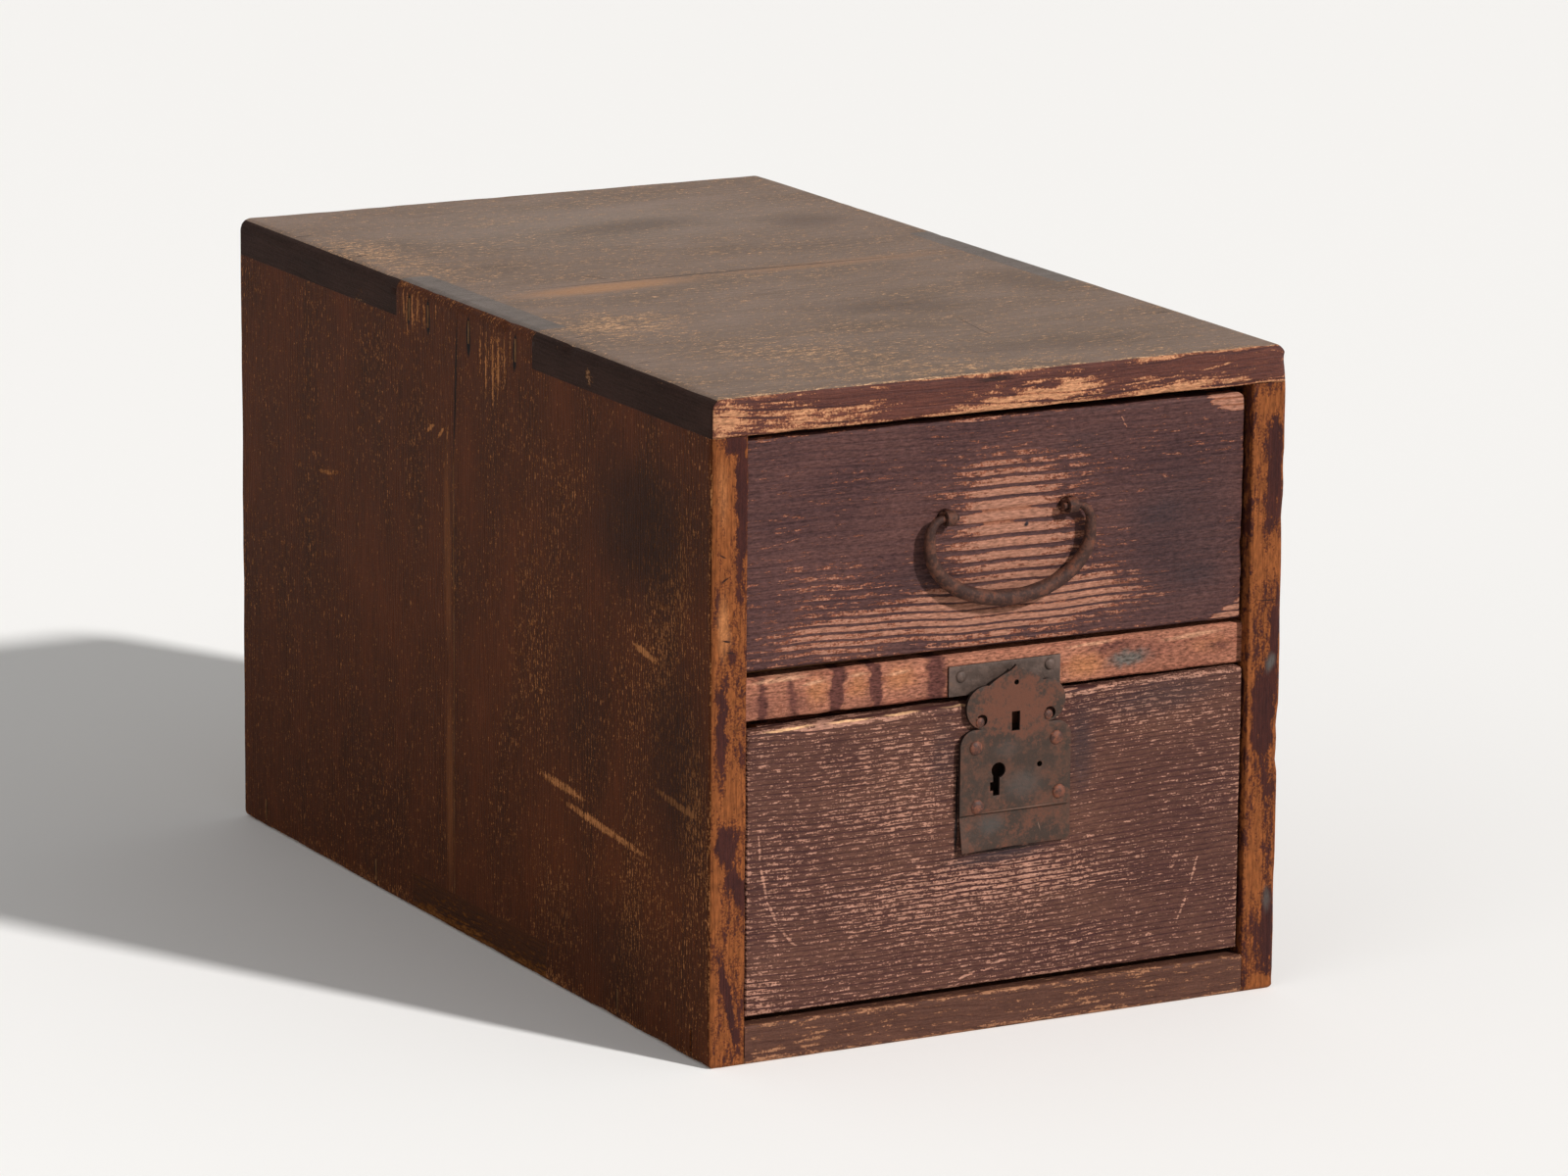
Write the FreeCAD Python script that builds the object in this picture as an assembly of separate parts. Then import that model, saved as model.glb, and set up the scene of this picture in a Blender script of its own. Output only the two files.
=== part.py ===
import FreeCAD, Part
import os
from math import cos, hypot, pi, sin, tan

from FreeCAD import Placement, Rotation, Vector

# Small chest of two drawers: a finger-jointed case of softwood boards, each panel glued up from two
# boards, with forged nails, an iron bail on the upper drawer and an iron lock on the lower one.
# Millimetres. +X right, -Y towards the drawers' fronts, +Z up. The origin is the middle of the
# footprint, on the surface the chest stands on.

# --- case ---------------------------------------------------------------------------------------
CASE_WIDTH = 272.0
CASE_DEPTH = 461.0
CASE_HEIGHT = 280.0
BOARD = 16.5                    # top, sides and bottom
BACK_BOARD = 9.0
BACK_REBATE = 8.0               # how far the back is let into the boards round it
BACK_LOWER_HEIGHT = 135.0
BACK_SHRINKAGE = 0.8            # gap that has opened between the two back boards

# Fingers of the corner joints, measured along the depth. The top keeps its two end fingers and the
# sides keep theirs at the floor, so each corner interlocks in three.
TOP_FRONT_FINGER = 163.0
TOP_REAR_FINGER = 166.0
FLOOR_FRONT_FINGER = 149.5
FLOOR_REAR_FINGER = 180.5

# Where each panel's two boards meet.
TOP_SEAM = 3.0
TOP_SEAM_SLANT = 26.0           # the top's seam runs back by this much from left to right
SIDE_SEAM = 8.0
BOTTOM_SEAM = 20.0

# Arrises rounded by handling.
LEFT_TOP_ROUND = 5.5
RIGHT_TOP_ROUND = 7.5
FLOOR_ROUND = 2.5
FRONT_ROUND = 2.0
REAR_BEVEL = 1.5

# --- rail and runners ---------------------------------------------------------------------------
LOWER_OPENING = 126.7           # height of the lower drawer's opening
RAIL_HEIGHT = 17.7
RAIL_DEPTH = 42.0
RAIL_SETBACK = 5.6
RAIL_HOUSING = 5.0              # how far the rail's ends are housed in the sides
RUNNER_WIDTH = 12.0
RUNNER_HEIGHT = 14.0

# --- forged nails and whittled pegs ---------------------------------------------------------------
NAIL_SHANK = 2.4
NAIL_THICK = 1.6
NAIL_HEAD = 10.0
NAIL_HEAD_DEEP = 3.0
NAIL_SUNK = 1.0
NAIL_LENGTH = 34.0
NAIL_POINT = 7.2                # length of its tapered end
SMALL_NAIL_HEAD = 5.0
BACK_NAIL_LENGTH = 22.0
RUNNER_NAIL_LENGTH = 21.0
UPPER_NAIL_DROP = 11.5          # below the top's surface
# Nails through the side's middle finger into the top: from the finger's front end, from the top's
# seam and from the finger's rear end.
FINGER_FRONT_NAIL = 15.7
SEAM_NAIL = -9.6
FINGER_REAR_NAILS = (31.5, 12.9)
# Nails through the side's foot into the bottom, from the case's front and from its rear.
FLOOR_FRONT_NAILS = (16.5, 82.5)
FLOOR_REAR_NAILS = (142.5, 24.5)
BACK_NAIL_COUNT = 3
BACK_NAIL_FROM_EDGE = 16.0      # from a back board's lower or upper edge
BACK_NAIL_FROM_SIDE = 32.0      # from the inside of a side
RUNNER_NAIL_COUNT = 3
RUNNER_NAIL_FROM_RAIL = 42.0
RUNNER_NAIL_FROM_BACK = 84.0
PEG_SIZE = 2.6
PEG_IN = 12.0                   # how far a peg goes past the piece it holds on
CORNER_PEG_MARGIN = 17.0        # from the drawer's bottom or its rim
UNDER_PEG_MARGIN = 34.0         # from the ends of a drawer's side

# --- drawers ------------------------------------------------------------------------------------
DRAWER_SIDE_GAP = 1.2
DRAWER_REAR_GAP = 0.8
RUN_GAP = 0.3
DRAWER_FRONT = 17.0
DRAWER_SIDE = 9.0
DRAWER_BACK = 9.0
DRAWER_BOTTOM = 7.0
SIDE_LAP = 10.0                 # the sides' lap behind the front
BOTTOM_LAP = 7.0                # the bottom's lap under the front
RIM_GAP = 5.5                   # from the drawer sides' top edge to the roof of the opening
BACK_DROP = 3.0                 # the drawer's back stands lower than its sides
FRONT_TOP_WEAR = 2.2
FRONT_EDGE_WEAR = 0.8

UPPER_SETBACK = 4.5
UPPER_GAP_UNDER = (3.7, 2.1)    # left, right
UPPER_GAP_OVER = (2.0, 3.6)
UPPER_CORNER_PEG_COUNT = 3
LOWER_SETBACK = 2.4
LOWER_GAP_UNDER = (3.0, 3.0)
LOWER_GAP_OVER = (3.6, 0.8)
LOWER_CORNER_PEG_COUNT = 4
SIDE_PEG_COUNT = 5
END_PEG_COUNT = 3

# --- bail and its eyes --------------------------------------------------------------------------
BAIL_X = 3.0
PIVOT_DROP = 43.0               # below the roof of the upper opening
PIVOT_STANDOFF = 4.5            # in front of the drawer's face
EYE_SPAN = 58.0
EYE_WIDTH = 4.4
EYE_STRAP = 1.6
EYE_CLENCH = 8.0
PIVOT_RADIUS = 1.5
PIVOT_CLEARANCE = 0.1
PIVOT_END = 1.8                 # how far the bail's tips pass through the eyes
BAIL_WIDTH = 76.4               # between the middles of the two branches
BAIL_DROP = 36.0                # from the pivot to the middle of the grip
BAIL_BEND = 6.8
BAIL_BOW = 24.5                 # height of the grip's bow
BAIL_GRIP_RADIUS = 3.45
BAIL_SWELL = 0.35               # how soon the rod swells from its thin tips
BAIL_FLAT_COUNT = 16            # hammered flats round its section
BEND_STATION_COUNT = 5
BOW_STATION_COUNT = 9
EYE_PIT_RADIUS = 4.2
EYE_PIT_DEPTH = 2.0
EYE_PIT_DROP = 0.8

# --- lock ---------------------------------------------------------------------------------------
LOCK_X = 6.9
PLATE_THICK = 1.5
PLATE_WIDTH = 53.2
PLATE_BODY_TOP = 13.6           # below the rail's underside
PLATE_BODY_HEIGHT = 36.0
SHOULDER_ROUND = 7.0
SHEET_CORNER = 0.3
NECK_LAP = 1.0                  # how far the outline's neck runs down into its body
LOBE_SPREAD = 14.5              # from the plate's middle to the middle of a lobe
LOBE_RADIUS = 9.2
LOBE_DROP = 4.5                 # lobe's middle below the rail's underside
CROWN_FOOT = (13.1, 4.5)        # where the crown springs from the lobes, above the rail's underside
CROWN_SWELL = (9.4, 7.0)
CROWN_TURN = (5.5, 8.9)
CROWN_DIP = (2.6, 10.2)
CROWN_TIP = 12.3
APRON_THICK = 0.8
APRON_HEIGHT = 24.0
APRON_SHOWS = 16.0              # how much of it hangs below the plate
APRON_SHIFT = 0.9
APRON_CORNER = 2.5
SLOT_WIDTH = 3.9
SLOT_HEIGHT = 8.2
SLOT_DROP = 11.7                # its middle, below the rail's underside
KEYHOLE_X = -8.0
KEYHOLE_DROP = 31.9
KEYHOLE_RADIUS = 3.3
KEY_SLOT_X = -9.0
KEY_SLOT_WIDTH = 3.1
KEY_SLOT_DROP = 42.6
KEY_WARD_WIDTH = 1.4
KEY_WARD_HEIGHT = 3.7
KEY_WARD_DROP = 36.7
PIN_HOLES = ((0.1, 4.8, 1.1), (11.7, -31.4, 1.2))
WAIST_HOLE = (16.3, -9.9)
WAIST_HOLE_RADIUS = 2.6
WAIST_NAIL_SHIFT = (-0.8, -0.7)
WAIST_NAIL_HEAD = 1.9
PLATE_NAILS = ((-19.0, -21.3), (19.5, -20.9), (-18.1, -46.4), (21.1, -44.2))
PLATE_NAIL_HEAD = 2.7
ROUND_NAIL_SHANK = 1.8
ROUND_NAIL_DOME = 0.45          # dome height as a share of the head's radius
NAIL_FLAT_COUNT = 14            # hammered flats round the dome
# The dome's profile from its rim to its top, as shares of its radius and of its height.
ROUND_NAIL_PROFILE = ((1.0, 0.0), (0.8, 0.5), (0.4, 1.0))
ROUND_NAIL_IN = 11.0            # how far it goes into the wood

LOCK_WALL = 1.2
LOCK_WIDTH = 28.0
LOCK_HEIGHT = 39.5
LOCK_TOP_DROP = 5.7             # below the rail's underside
LOCK_DEEP = 10.0
BOLT_X = 5.0
BOLT_WIDTH = 9.0
BOLT_THICK = 3.0
BOLT_BEHIND_FACE = 4.0
BOLT_LENGTH = 37.9
BOLT_TOP_DROP = 2.8
BOLT_TRAVEL = 7.0
BOLT_CLEARANCE = 0.3
TALON_DEEP = 3.0
TALON_HEIGHT = 7.5
TALON_UP = 5.0                  # above the bolt's foot
STUD_RADIUS = 1.4
STUD_HEAD = 2.4
STUD_UP = 23.5                  # above the bolt's foot when the bolt is down
SPRING_THICK = 0.6
SPRING_FOOT = 4.0
SPRING_TOP_UP = 29.5            # above the bolt's foot
SPRING_REACH = 28.0

STRIKE_X = 3.9
STRIKE_WIDTH = 53.3
STRIKE_HEIGHT = 12.9
STRIKE_UP = 0.4
STRIKE_THICK = 1.0
STRIKE_NAILS = ((-20.8, 8.7), (21.5, 9.6))
STRIKE_NAIL_HEAD = 2.2
POCKET_CLEARANCE = 0.5
POCKET_OVER = 2.0               # room above the raised bolt

# --- places that follow from the sizes ------------------------------------------------------------
HALF_WIDTH = CASE_WIDTH / 2
FRONT_Y = -CASE_DEPTH / 2
REAR_Y = CASE_DEPTH / 2
INNER_X = HALF_WIDTH - BOARD
CEILING_Z = CASE_HEIGHT - BOARD
RAIL_Z = BOARD + LOWER_OPENING
RAIL_TOP_Z = RAIL_Z + RAIL_HEIGHT
RAIL_FACE_Y = FRONT_Y + RAIL_SETBACK
RAIL_REAR_Y = RAIL_FACE_Y + RAIL_DEPTH
BACK_Y = REAR_Y - BACK_BOARD
BACK_HALF_WIDTH = INNER_X + BACK_REBATE
BACK_LOW_Z = BOARD - BACK_REBATE
BACK_HIGH_Z = CEILING_Z + BACK_REBATE
DRAWER_X = INNER_X - DRAWER_SIDE_GAP
DRAWER_REAR_Y = BACK_Y - DRAWER_REAR_GAP
UPPER_FACE_Y = FRONT_Y + UPPER_SETBACK
LOWER_FACE_Y = FRONT_Y + LOWER_SETBACK
PIVOT_Y = UPPER_FACE_Y - PIVOT_STANDOFF
PIVOT_Z = CEILING_Z - PIVOT_DROP
PLATE_BACK_Y = LOWER_FACE_Y - APRON_THICK
PLATE_FACE_Y = PLATE_BACK_Y - PLATE_THICK
BOLT_FRONT_Y = LOWER_FACE_Y + BOLT_BEHIND_FACE
BOLT_REAR_Y = BOLT_FRONT_Y + BOLT_THICK
BOLT_TOP_Z = RAIL_Z - BOLT_TOP_DROP
BOLT_FOOT_Z = BOLT_TOP_Z - BOLT_LENGTH
STUD_Z = BOLT_FOOT_Z + STUD_UP


# --- helpers --------------------------------------------------------------------------------------
SAME_PLACE = 1e-4               # two places nearer than this are one
UP = Vector(0, 0, 1)
RIGHT = Vector(1, 0, 0)
INTO_CHEST = Vector(0, 1, 0)


def box(x_low, x_high, y_low, y_high, z_low, z_high):
    return Part.makeBox(x_high - x_low, y_high - y_low, z_high - z_low, Vector(x_low, y_low, z_low))


def side_box(side, x_inner, x_outer, *rest):
    """A box between two distances from the middle plane, on the left (-1) or on the right (+1)."""
    x_low, x_high = sorted((side * x_inner, side * x_outer))
    return box(x_low, x_high, *rest)


def rod(radius, start, end):
    return Part.makeCylinder(radius, (end - start).Length, start, end - start)


def spaced(low, high, count):
    """Evenly spaced places with the first and last at the ends."""
    return [low + (high - low) * step / (count - 1) for step in range(count)]


def upright_face(points):
    """A flat face in the XZ plane through (x, z) corners."""
    corners = [Vector(x, 0, z) for x, z in points]
    return Part.Face(Part.makePolygon(corners + corners[:1]))


def rounded_face(corners):
    """A flat face in the XZ plane from (x, z, radius) corners, listed counter-clockwise."""
    arcs = []
    for here, (x, z, radius) in enumerate(corners):
        x_before, z_before, _ = corners[here - 1]
        x_after, z_after, _ = corners[(here + 1) % len(corners)]
        corner = Vector(x, 0, z)
        back = (Vector(x_before, 0, z_before) - corner).normalize()
        ahead = (Vector(x_after, 0, z_after) - corner).normalize()
        half_angle = back.getAngle(ahead) / 2
        setback = radius / tan(half_angle)
        middle = (back + ahead).normalize() * (radius / sin(half_angle) - radius)
        arcs.append((corner + back * setback, corner + middle, corner + ahead * setback))
    edges = []
    for here, (start, middle, end) in enumerate(arcs):
        edges.append(Part.LineSegment(arcs[here - 1][2], start).toShape())
        edges.append(Part.Arc(start, middle, end).toShape())
    return Part.Face(Part.Wire(edges))


def regular_outline(centre, across, along, radius, sides):
    """A regular many-sided outline in the plane of two directions."""
    turns = [2 * pi * side / sides for side in range(sides)]
    corners = [centre + across * (radius * cos(turn)) + along * (radius * sin(turn)) for turn in turns]
    return Part.makePolygon(corners + corners[:1])


def slab(face, y_front, y_rear):
    """A face of the XZ plane pushed out between two depths."""
    placed = face.translated(Vector(0, y_front, 0))
    return placed.extrude(Vector(0, y_rear - y_front, 0))


def edges_at_depth(shape, y):
    """The edges that lie wholly in the plane of one depth, from the lowest to the highest."""
    touching = [edge for edge in shape.Edges if abs(edge.BoundBox.YMin - y) < SAME_PLACE
                and abs(edge.BoundBox.YMax - y) < SAME_PLACE]
    return sorted(touching, key=lambda edge: edge.CenterOfMass.z)


def split(board, seam_left, seam_right):
    """Saws a panel along a straight seam into its front and its rear board."""
    reach = CASE_WIDTH
    slant = (seam_right - seam_left) / CASE_WIDTH
    middle = (seam_left + seam_right) / 2
    corners = [Vector(-reach, FRONT_Y - reach, -reach), Vector(reach, FRONT_Y - reach, -reach),
               Vector(reach, middle + slant * reach, -reach), Vector(-reach, middle - slant * reach, -reach)]
    ground = Part.Face(Part.makePolygon(corners + corners[:1]))
    in_front = ground.extrude(Vector(0, 0, CASE_HEIGHT + 2 * reach))
    return board.common(in_front), board.cut(in_front)


# --- fastenings -----------------------------------------------------------------------------------
def set_in(shape, place, inward, across):
    """Turns a fastening's depth (its X) and the length of its head (its Z) into the wood."""
    return shape.transformShape(
        Placement(place, Rotation(inward, across.cross(inward), across, "XYZ")).toMatrix(), True)


def nail_outline(length, head, top):
    """Half-profiles of a forged nail: a flat head, a shank and a point."""
    half_head, half_shank = head / 2, NAIL_SHANK / 2
    neck = NAIL_SUNK + NAIL_HEAD_DEEP
    right = [(top, half_head), (neck, half_head), (neck, half_shank), (length - NAIL_POINT, half_shank)]
    left = [(depth, -out) for depth, out in reversed(right)]
    return upright_face(right + [(length, 0)] + left)


def nail(length, head):
    return slab(nail_outline(length, head, NAIL_SUNK), -NAIL_THICK / 2, NAIL_THICK / 2)


def nail_slot(length, head):
    """The cut that takes a nail, open above its sunk head."""
    return slab(nail_outline(length, head, -NAIL_SUNK), -NAIL_THICK / 2, NAIL_THICK / 2)


def peg(length):
    half = PEG_SIZE / 2
    outline = [(0, -half), (length - PEG_SIZE, -half), (length, 0), (length - PEG_SIZE, half), (0, half)]
    return slab(upright_face(outline), -half, half)


def round_nail(x, z, head_y, wood_y, head_radius):
    """A nail with a hammered dome at head_y and its square shank in the wood behind wood_y."""
    rings = []
    for share, rise in ROUND_NAIL_PROFILE:
        centre = Vector(0, head_y - rise * head_radius * ROUND_NAIL_DOME, 0)
        rings.append(regular_outline(centre, RIGHT, UP, share * head_radius, NAIL_FLAT_COUNT))
    dome = Part.makeLoft(rings, True, True)
    half = ROUND_NAIL_SHANK / 2
    shank = box(-half, half, head_y, wood_y + ROUND_NAIL_IN, -half, half)
    return dome.fuse(shank).translated(Vector(x, 0, z))


def placed_case_nails(make):
    """Nails through the sides' fingers into the ends of the top and of the bottom."""
    upper = [FRONT_Y + TOP_FRONT_FINGER + FINGER_FRONT_NAIL, TOP_SEAM + SEAM_NAIL]
    upper += [REAR_Y - TOP_REAR_FINGER - back for back in FINGER_REAR_NAILS]
    lower = [FRONT_Y + along for along in FLOOR_FRONT_NAILS] + [REAR_Y - back for back in FLOOR_REAR_NAILS]
    nails = []
    for side in (-1, 1):
        for row, z in ((upper, CASE_HEIGHT - UPPER_NAIL_DROP), (lower, BOARD / 2)):
            for y in row:
                place = Vector(side * HALF_WIDTH, y, z)
                nails.append(set_in(make(NAIL_LENGTH, NAIL_HEAD), place, Vector(-side, 0, 0), UP))
    return nails


def placed_back_nails(make):
    """Nails through the edges of the back boards into the rebate round them."""
    inset = BACK_REBATE / 2
    lower_top = BACK_LOW_Z + BACK_LOWER_HEIGHT
    upper_low = lower_top + BACK_SHRINKAGE
    places = []
    for low, high in ((BACK_LOW_Z, lower_top), (upper_low, BACK_HIGH_Z)):
        for z in spaced(low + BACK_NAIL_FROM_EDGE, high - BACK_NAIL_FROM_EDGE, BACK_NAIL_COUNT):
            places += [(side * (BACK_HALF_WIDTH - inset), z, UP) for side in (-1, 1)]
    reach = INNER_X - BACK_NAIL_FROM_SIDE
    for x in spaced(-reach, reach, BACK_NAIL_COUNT):
        places += [(x, z, RIGHT) for z in (BACK_LOW_Z + inset, BACK_HIGH_Z - inset)]
    return [set_in(make(BACK_NAIL_LENGTH, SMALL_NAIL_HEAD), Vector(x, REAR_Y, z), Vector(0, -1, 0), across)
            for x, z, across in places]


def placed_runner_nails(make):
    """Nails from inside the case through the runners into the sides."""
    nails = []
    y_low, y_high = RAIL_REAR_Y + RUNNER_NAIL_FROM_RAIL, BACK_Y - RUNNER_NAIL_FROM_BACK
    for side in (-1, 1):
        for y in spaced(y_low, y_high, RUNNER_NAIL_COUNT):
            place = Vector(side * (INNER_X - RUNNER_WIDTH), y, RAIL_TOP_Z - RUNNER_HEIGHT / 2)
            nails.append(set_in(make(RUNNER_NAIL_LENGTH, SMALL_NAIL_HEAD), place, Vector(side, 0, 0), UP))
    return nails


# --- case ---------------------------------------------------------------------------------------
def worn_block():
    """The outside of the whole case as one block, its arrises rounded by wear."""
    outline = rounded_face([(-HALF_WIDTH, 0, FLOOR_ROUND), (HALF_WIDTH, 0, FLOOR_ROUND),
                            (HALF_WIDTH, CASE_HEIGHT, RIGHT_TOP_ROUND),
                            (-HALF_WIDTH, CASE_HEIGHT, LEFT_TOP_ROUND)])
    block = slab(outline, FRONT_Y, REAR_Y)
    block = block.makeFillet(FRONT_ROUND, edges_at_depth(block, FRONT_Y))
    return block.makeChamfer(REAR_BEVEL, edges_at_depth(block, REAR_Y))


def top_panel():
    panel = box(-HALF_WIDTH, HALF_WIDTH, FRONT_Y, REAR_Y, CEILING_Z, CASE_HEIGHT)
    for side in (-1, 1):
        panel = panel.cut(side_box(side, INNER_X, HALF_WIDTH, FRONT_Y + TOP_FRONT_FINGER,
                                   REAR_Y - TOP_REAR_FINGER, CEILING_Z, CASE_HEIGHT))
    return panel


def bottom_panel():
    panel = box(-INNER_X, INNER_X, FRONT_Y, REAR_Y, 0, BOARD)
    tongue = box(-HALF_WIDTH, HALF_WIDTH, FRONT_Y + FLOOR_FRONT_FINGER, REAR_Y - FLOOR_REAR_FINGER, 0, BOARD)
    return panel.fuse(tongue).removeSplitter()


def side_panel(side):
    """A side: its middle finger rises through the top, and the bottom's tongue passes through its foot."""
    panel = side_box(side, INNER_X, HALF_WIDTH, FRONT_Y, REAR_Y, 0, CASE_HEIGHT)
    tongue_ends = (FRONT_Y + FLOOR_FRONT_FINGER, REAR_Y - FLOOR_REAR_FINGER)
    return panel.cut([
        side_box(side, INNER_X, HALF_WIDTH, FRONT_Y, FRONT_Y + TOP_FRONT_FINGER, CEILING_Z, CASE_HEIGHT),
        side_box(side, INNER_X, HALF_WIDTH, REAR_Y - TOP_REAR_FINGER, REAR_Y, CEILING_Z, CASE_HEIGHT),
        side_box(side, INNER_X, HALF_WIDTH, *tongue_ends, 0, BOARD),
        side_box(side, INNER_X, INNER_X + RAIL_HOUSING, RAIL_FACE_Y, RAIL_REAR_Y, RAIL_Z, RAIL_TOP_Z),
    ])


def back_boards():
    lower_top = BACK_LOW_Z + BACK_LOWER_HEIGHT
    lower = box(-BACK_HALF_WIDTH, BACK_HALF_WIDTH, BACK_Y, REAR_Y, BACK_LOW_Z, lower_top)
    upper = box(-BACK_HALF_WIDTH, BACK_HALF_WIDTH, BACK_Y, REAR_Y, lower_top + BACK_SHRINKAGE, BACK_HIGH_Z)
    return lower, upper


def divider_rail():
    """The rail between the drawers, with the pocket that the lock's bolt rises into."""
    reach = INNER_X + RAIL_HOUSING
    rail = box(-reach, reach, RAIL_FACE_Y, RAIL_REAR_Y, RAIL_Z, RAIL_TOP_Z)
    half = BOLT_WIDTH / 2 + POCKET_CLEARANCE
    pocket = box(LOCK_X + BOLT_X - half, LOCK_X + BOLT_X + half, RAIL_FACE_Y, BOLT_REAR_Y + POCKET_CLEARANCE,
                 RAIL_Z, BOLT_TOP_Z + BOLT_TRAVEL + POCKET_OVER)
    return rail.cut(pocket)


def runner(side):
    return side_box(side, INNER_X - RUNNER_WIDTH, INNER_X, RAIL_REAR_Y, BACK_Y,
                    RAIL_TOP_Z - RUNNER_HEIGHT, RAIL_TOP_Z)


def strike_plate():
    half = STRIKE_WIDTH / 2
    return box(STRIKE_X - half, STRIKE_X + half, RAIL_FACE_Y - STRIKE_THICK, RAIL_FACE_Y,
               RAIL_Z + STRIKE_UP, RAIL_Z + STRIKE_UP + STRIKE_HEIGHT)


def strike_nails():
    return [round_nail(STRIKE_X + x, RAIL_Z + z, RAIL_FACE_Y - STRIKE_THICK, RAIL_FACE_Y, STRIKE_NAIL_HEAD)
            for x, z in STRIKE_NAILS]


def case_nodes():
    worn = worn_block()
    rebate = box(-BACK_HALF_WIDTH, BACK_HALF_WIDTH, BACK_Y, REAR_Y, BACK_LOW_Z, BACK_HIGH_Z)
    slots = placed_case_nails(nail_slot) + placed_back_nails(nail_slot) + placed_runner_nails(nail_slot)

    nodes = {}
    slant = TOP_SEAM_SLANT / 2
    panels = {
        "top": (top_panel(), TOP_SEAM - slant, TOP_SEAM + slant),
        "bottom": (bottom_panel(), BOTTOM_SEAM, BOTTOM_SEAM),
        "left_side": (side_panel(-1), SIDE_SEAM, SIDE_SEAM),
        "right_side": (side_panel(1), SIDE_SEAM, SIDE_SEAM),
    }
    for name, (panel, seam_left, seam_right) in panels.items():
        finished = panel.common(worn).cut([rebate] + slots)
        nodes[name + "_front_board"], nodes[name + "_rear_board"] = split(finished, seam_left, seam_right)

    lower, upper = back_boards()
    nodes["back_lower_board"] = lower.cut(slots)
    nodes["back_upper_board"] = upper.cut(slots)
    nailed_on = strike_nails()
    nodes["divider_rail"] = divider_rail().cut(nailed_on)
    nodes["left_runner"] = runner(-1).cut(slots)
    nodes["right_runner"] = runner(1).cut(slots)
    nodes["strike_plate"] = strike_plate().cut(nailed_on)
    nodes["strike_plate_nails"] = Part.makeCompound(nailed_on)
    nodes["case_joint_nails"] = Part.makeCompound(placed_case_nails(nail))
    nodes["back_nails"] = Part.makeCompound(placed_back_nails(nail))
    nodes["runner_nails"] = Part.makeCompound(placed_runner_nails(nail))
    return nodes


# --- drawers ------------------------------------------------------------------------------------
def drawer_front(face_y, bay_floor, bay_roof, gap_under, gap_over, floor_z):
    """A front that no longer sits square: its gaps differ from left to right."""
    inside_y = face_y + DRAWER_FRONT
    corners = [(-DRAWER_X, bay_floor + gap_under[0]), (DRAWER_X, bay_floor + gap_under[1]),
               (DRAWER_X, bay_roof - gap_over[1]), (-DRAWER_X, bay_roof - gap_over[0])]
    front = slab(upright_face(corners), face_y, inside_y)
    front = front.makeFillet(FRONT_TOP_WEAR, edges_at_depth(front, face_y)[-1:])
    front = front.makeChamfer(FRONT_EDGE_WEAR, edges_at_depth(front, face_y)[:-1])
    inner_x = DRAWER_X - DRAWER_SIDE
    laps = [side_box(side, inner_x, DRAWER_X, inside_y - SIDE_LAP, inside_y, bay_floor, bay_roof)
            for side in (-1, 1)]
    rebate = box(-DRAWER_X, DRAWER_X, inside_y - BOTTOM_LAP, inside_y, bay_floor, floor_z)
    return front.cut(laps + [rebate])


def drawer_pegs(inside_y, base_z, floor_z, rim_z, corner_pegs):
    """Pegs at the four corners, and up through the bottom into the pieces that stand on it."""
    through_side = DRAWER_SIDE + PEG_IN
    through_bottom = DRAWER_BOTTOM + PEG_IN
    rear_y = DRAWER_REAR_Y - DRAWER_BACK / 2
    corner_places = spaced(floor_z + CORNER_PEG_MARGIN, rim_z - CORNER_PEG_MARGIN, corner_pegs)
    pegs = []
    for side in (-1, 1):
        for y in (inside_y - SIDE_LAP / 2, rear_y):
            for z in corner_places:
                head = Vector(side * DRAWER_X, y, z)
                pegs.append(set_in(peg(through_side), head, Vector(-side, 0, 0), UP))
        for y in spaced(inside_y + UNDER_PEG_MARGIN, DRAWER_REAR_Y - UNDER_PEG_MARGIN, SIDE_PEG_COUNT):
            foot = Vector(side * (DRAWER_X - DRAWER_SIDE / 2), y, base_z)
            pegs.append(set_in(peg(through_bottom), foot, UP, RIGHT))
    for x in spaced(-DRAWER_X / 2, DRAWER_X / 2, END_PEG_COUNT):
        for y in (inside_y - BOTTOM_LAP / 2, rear_y):
            pegs.append(set_in(peg(through_bottom), Vector(x, y, base_z), UP, RIGHT))
    return pegs


def drawer_nodes(name, bay_floor, bay_roof, face_y, gap_under, gap_over, corner_pegs):
    inside_y = face_y + DRAWER_FRONT
    base_z = bay_floor + RUN_GAP
    floor_z = base_z + DRAWER_BOTTOM
    rim_z = bay_roof - RIM_GAP
    inner_x = DRAWER_X - DRAWER_SIDE
    back_y = DRAWER_REAR_Y - DRAWER_BACK
    pegs = drawer_pegs(inside_y, base_z, floor_z, rim_z, corner_pegs)
    pieces = {
        "front": drawer_front(face_y, bay_floor, bay_roof, gap_under, gap_over, floor_z),
        "left_side": side_box(-1, inner_x, DRAWER_X, inside_y - SIDE_LAP, DRAWER_REAR_Y, floor_z, rim_z),
        "right_side": side_box(1, inner_x, DRAWER_X, inside_y - SIDE_LAP, DRAWER_REAR_Y, floor_z, rim_z),
        "back": box(-inner_x, inner_x, back_y, DRAWER_REAR_Y, floor_z, rim_z - BACK_DROP),
        "bottom": box(-DRAWER_X, DRAWER_X, inside_y - BOTTOM_LAP, DRAWER_REAR_Y, base_z, floor_z),
    }
    nodes = {name + "_" + piece: shape.cut(pegs) for piece, shape in pieces.items()}
    nodes[name + "_pegs"] = Part.makeCompound(pegs)
    return nodes


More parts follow.
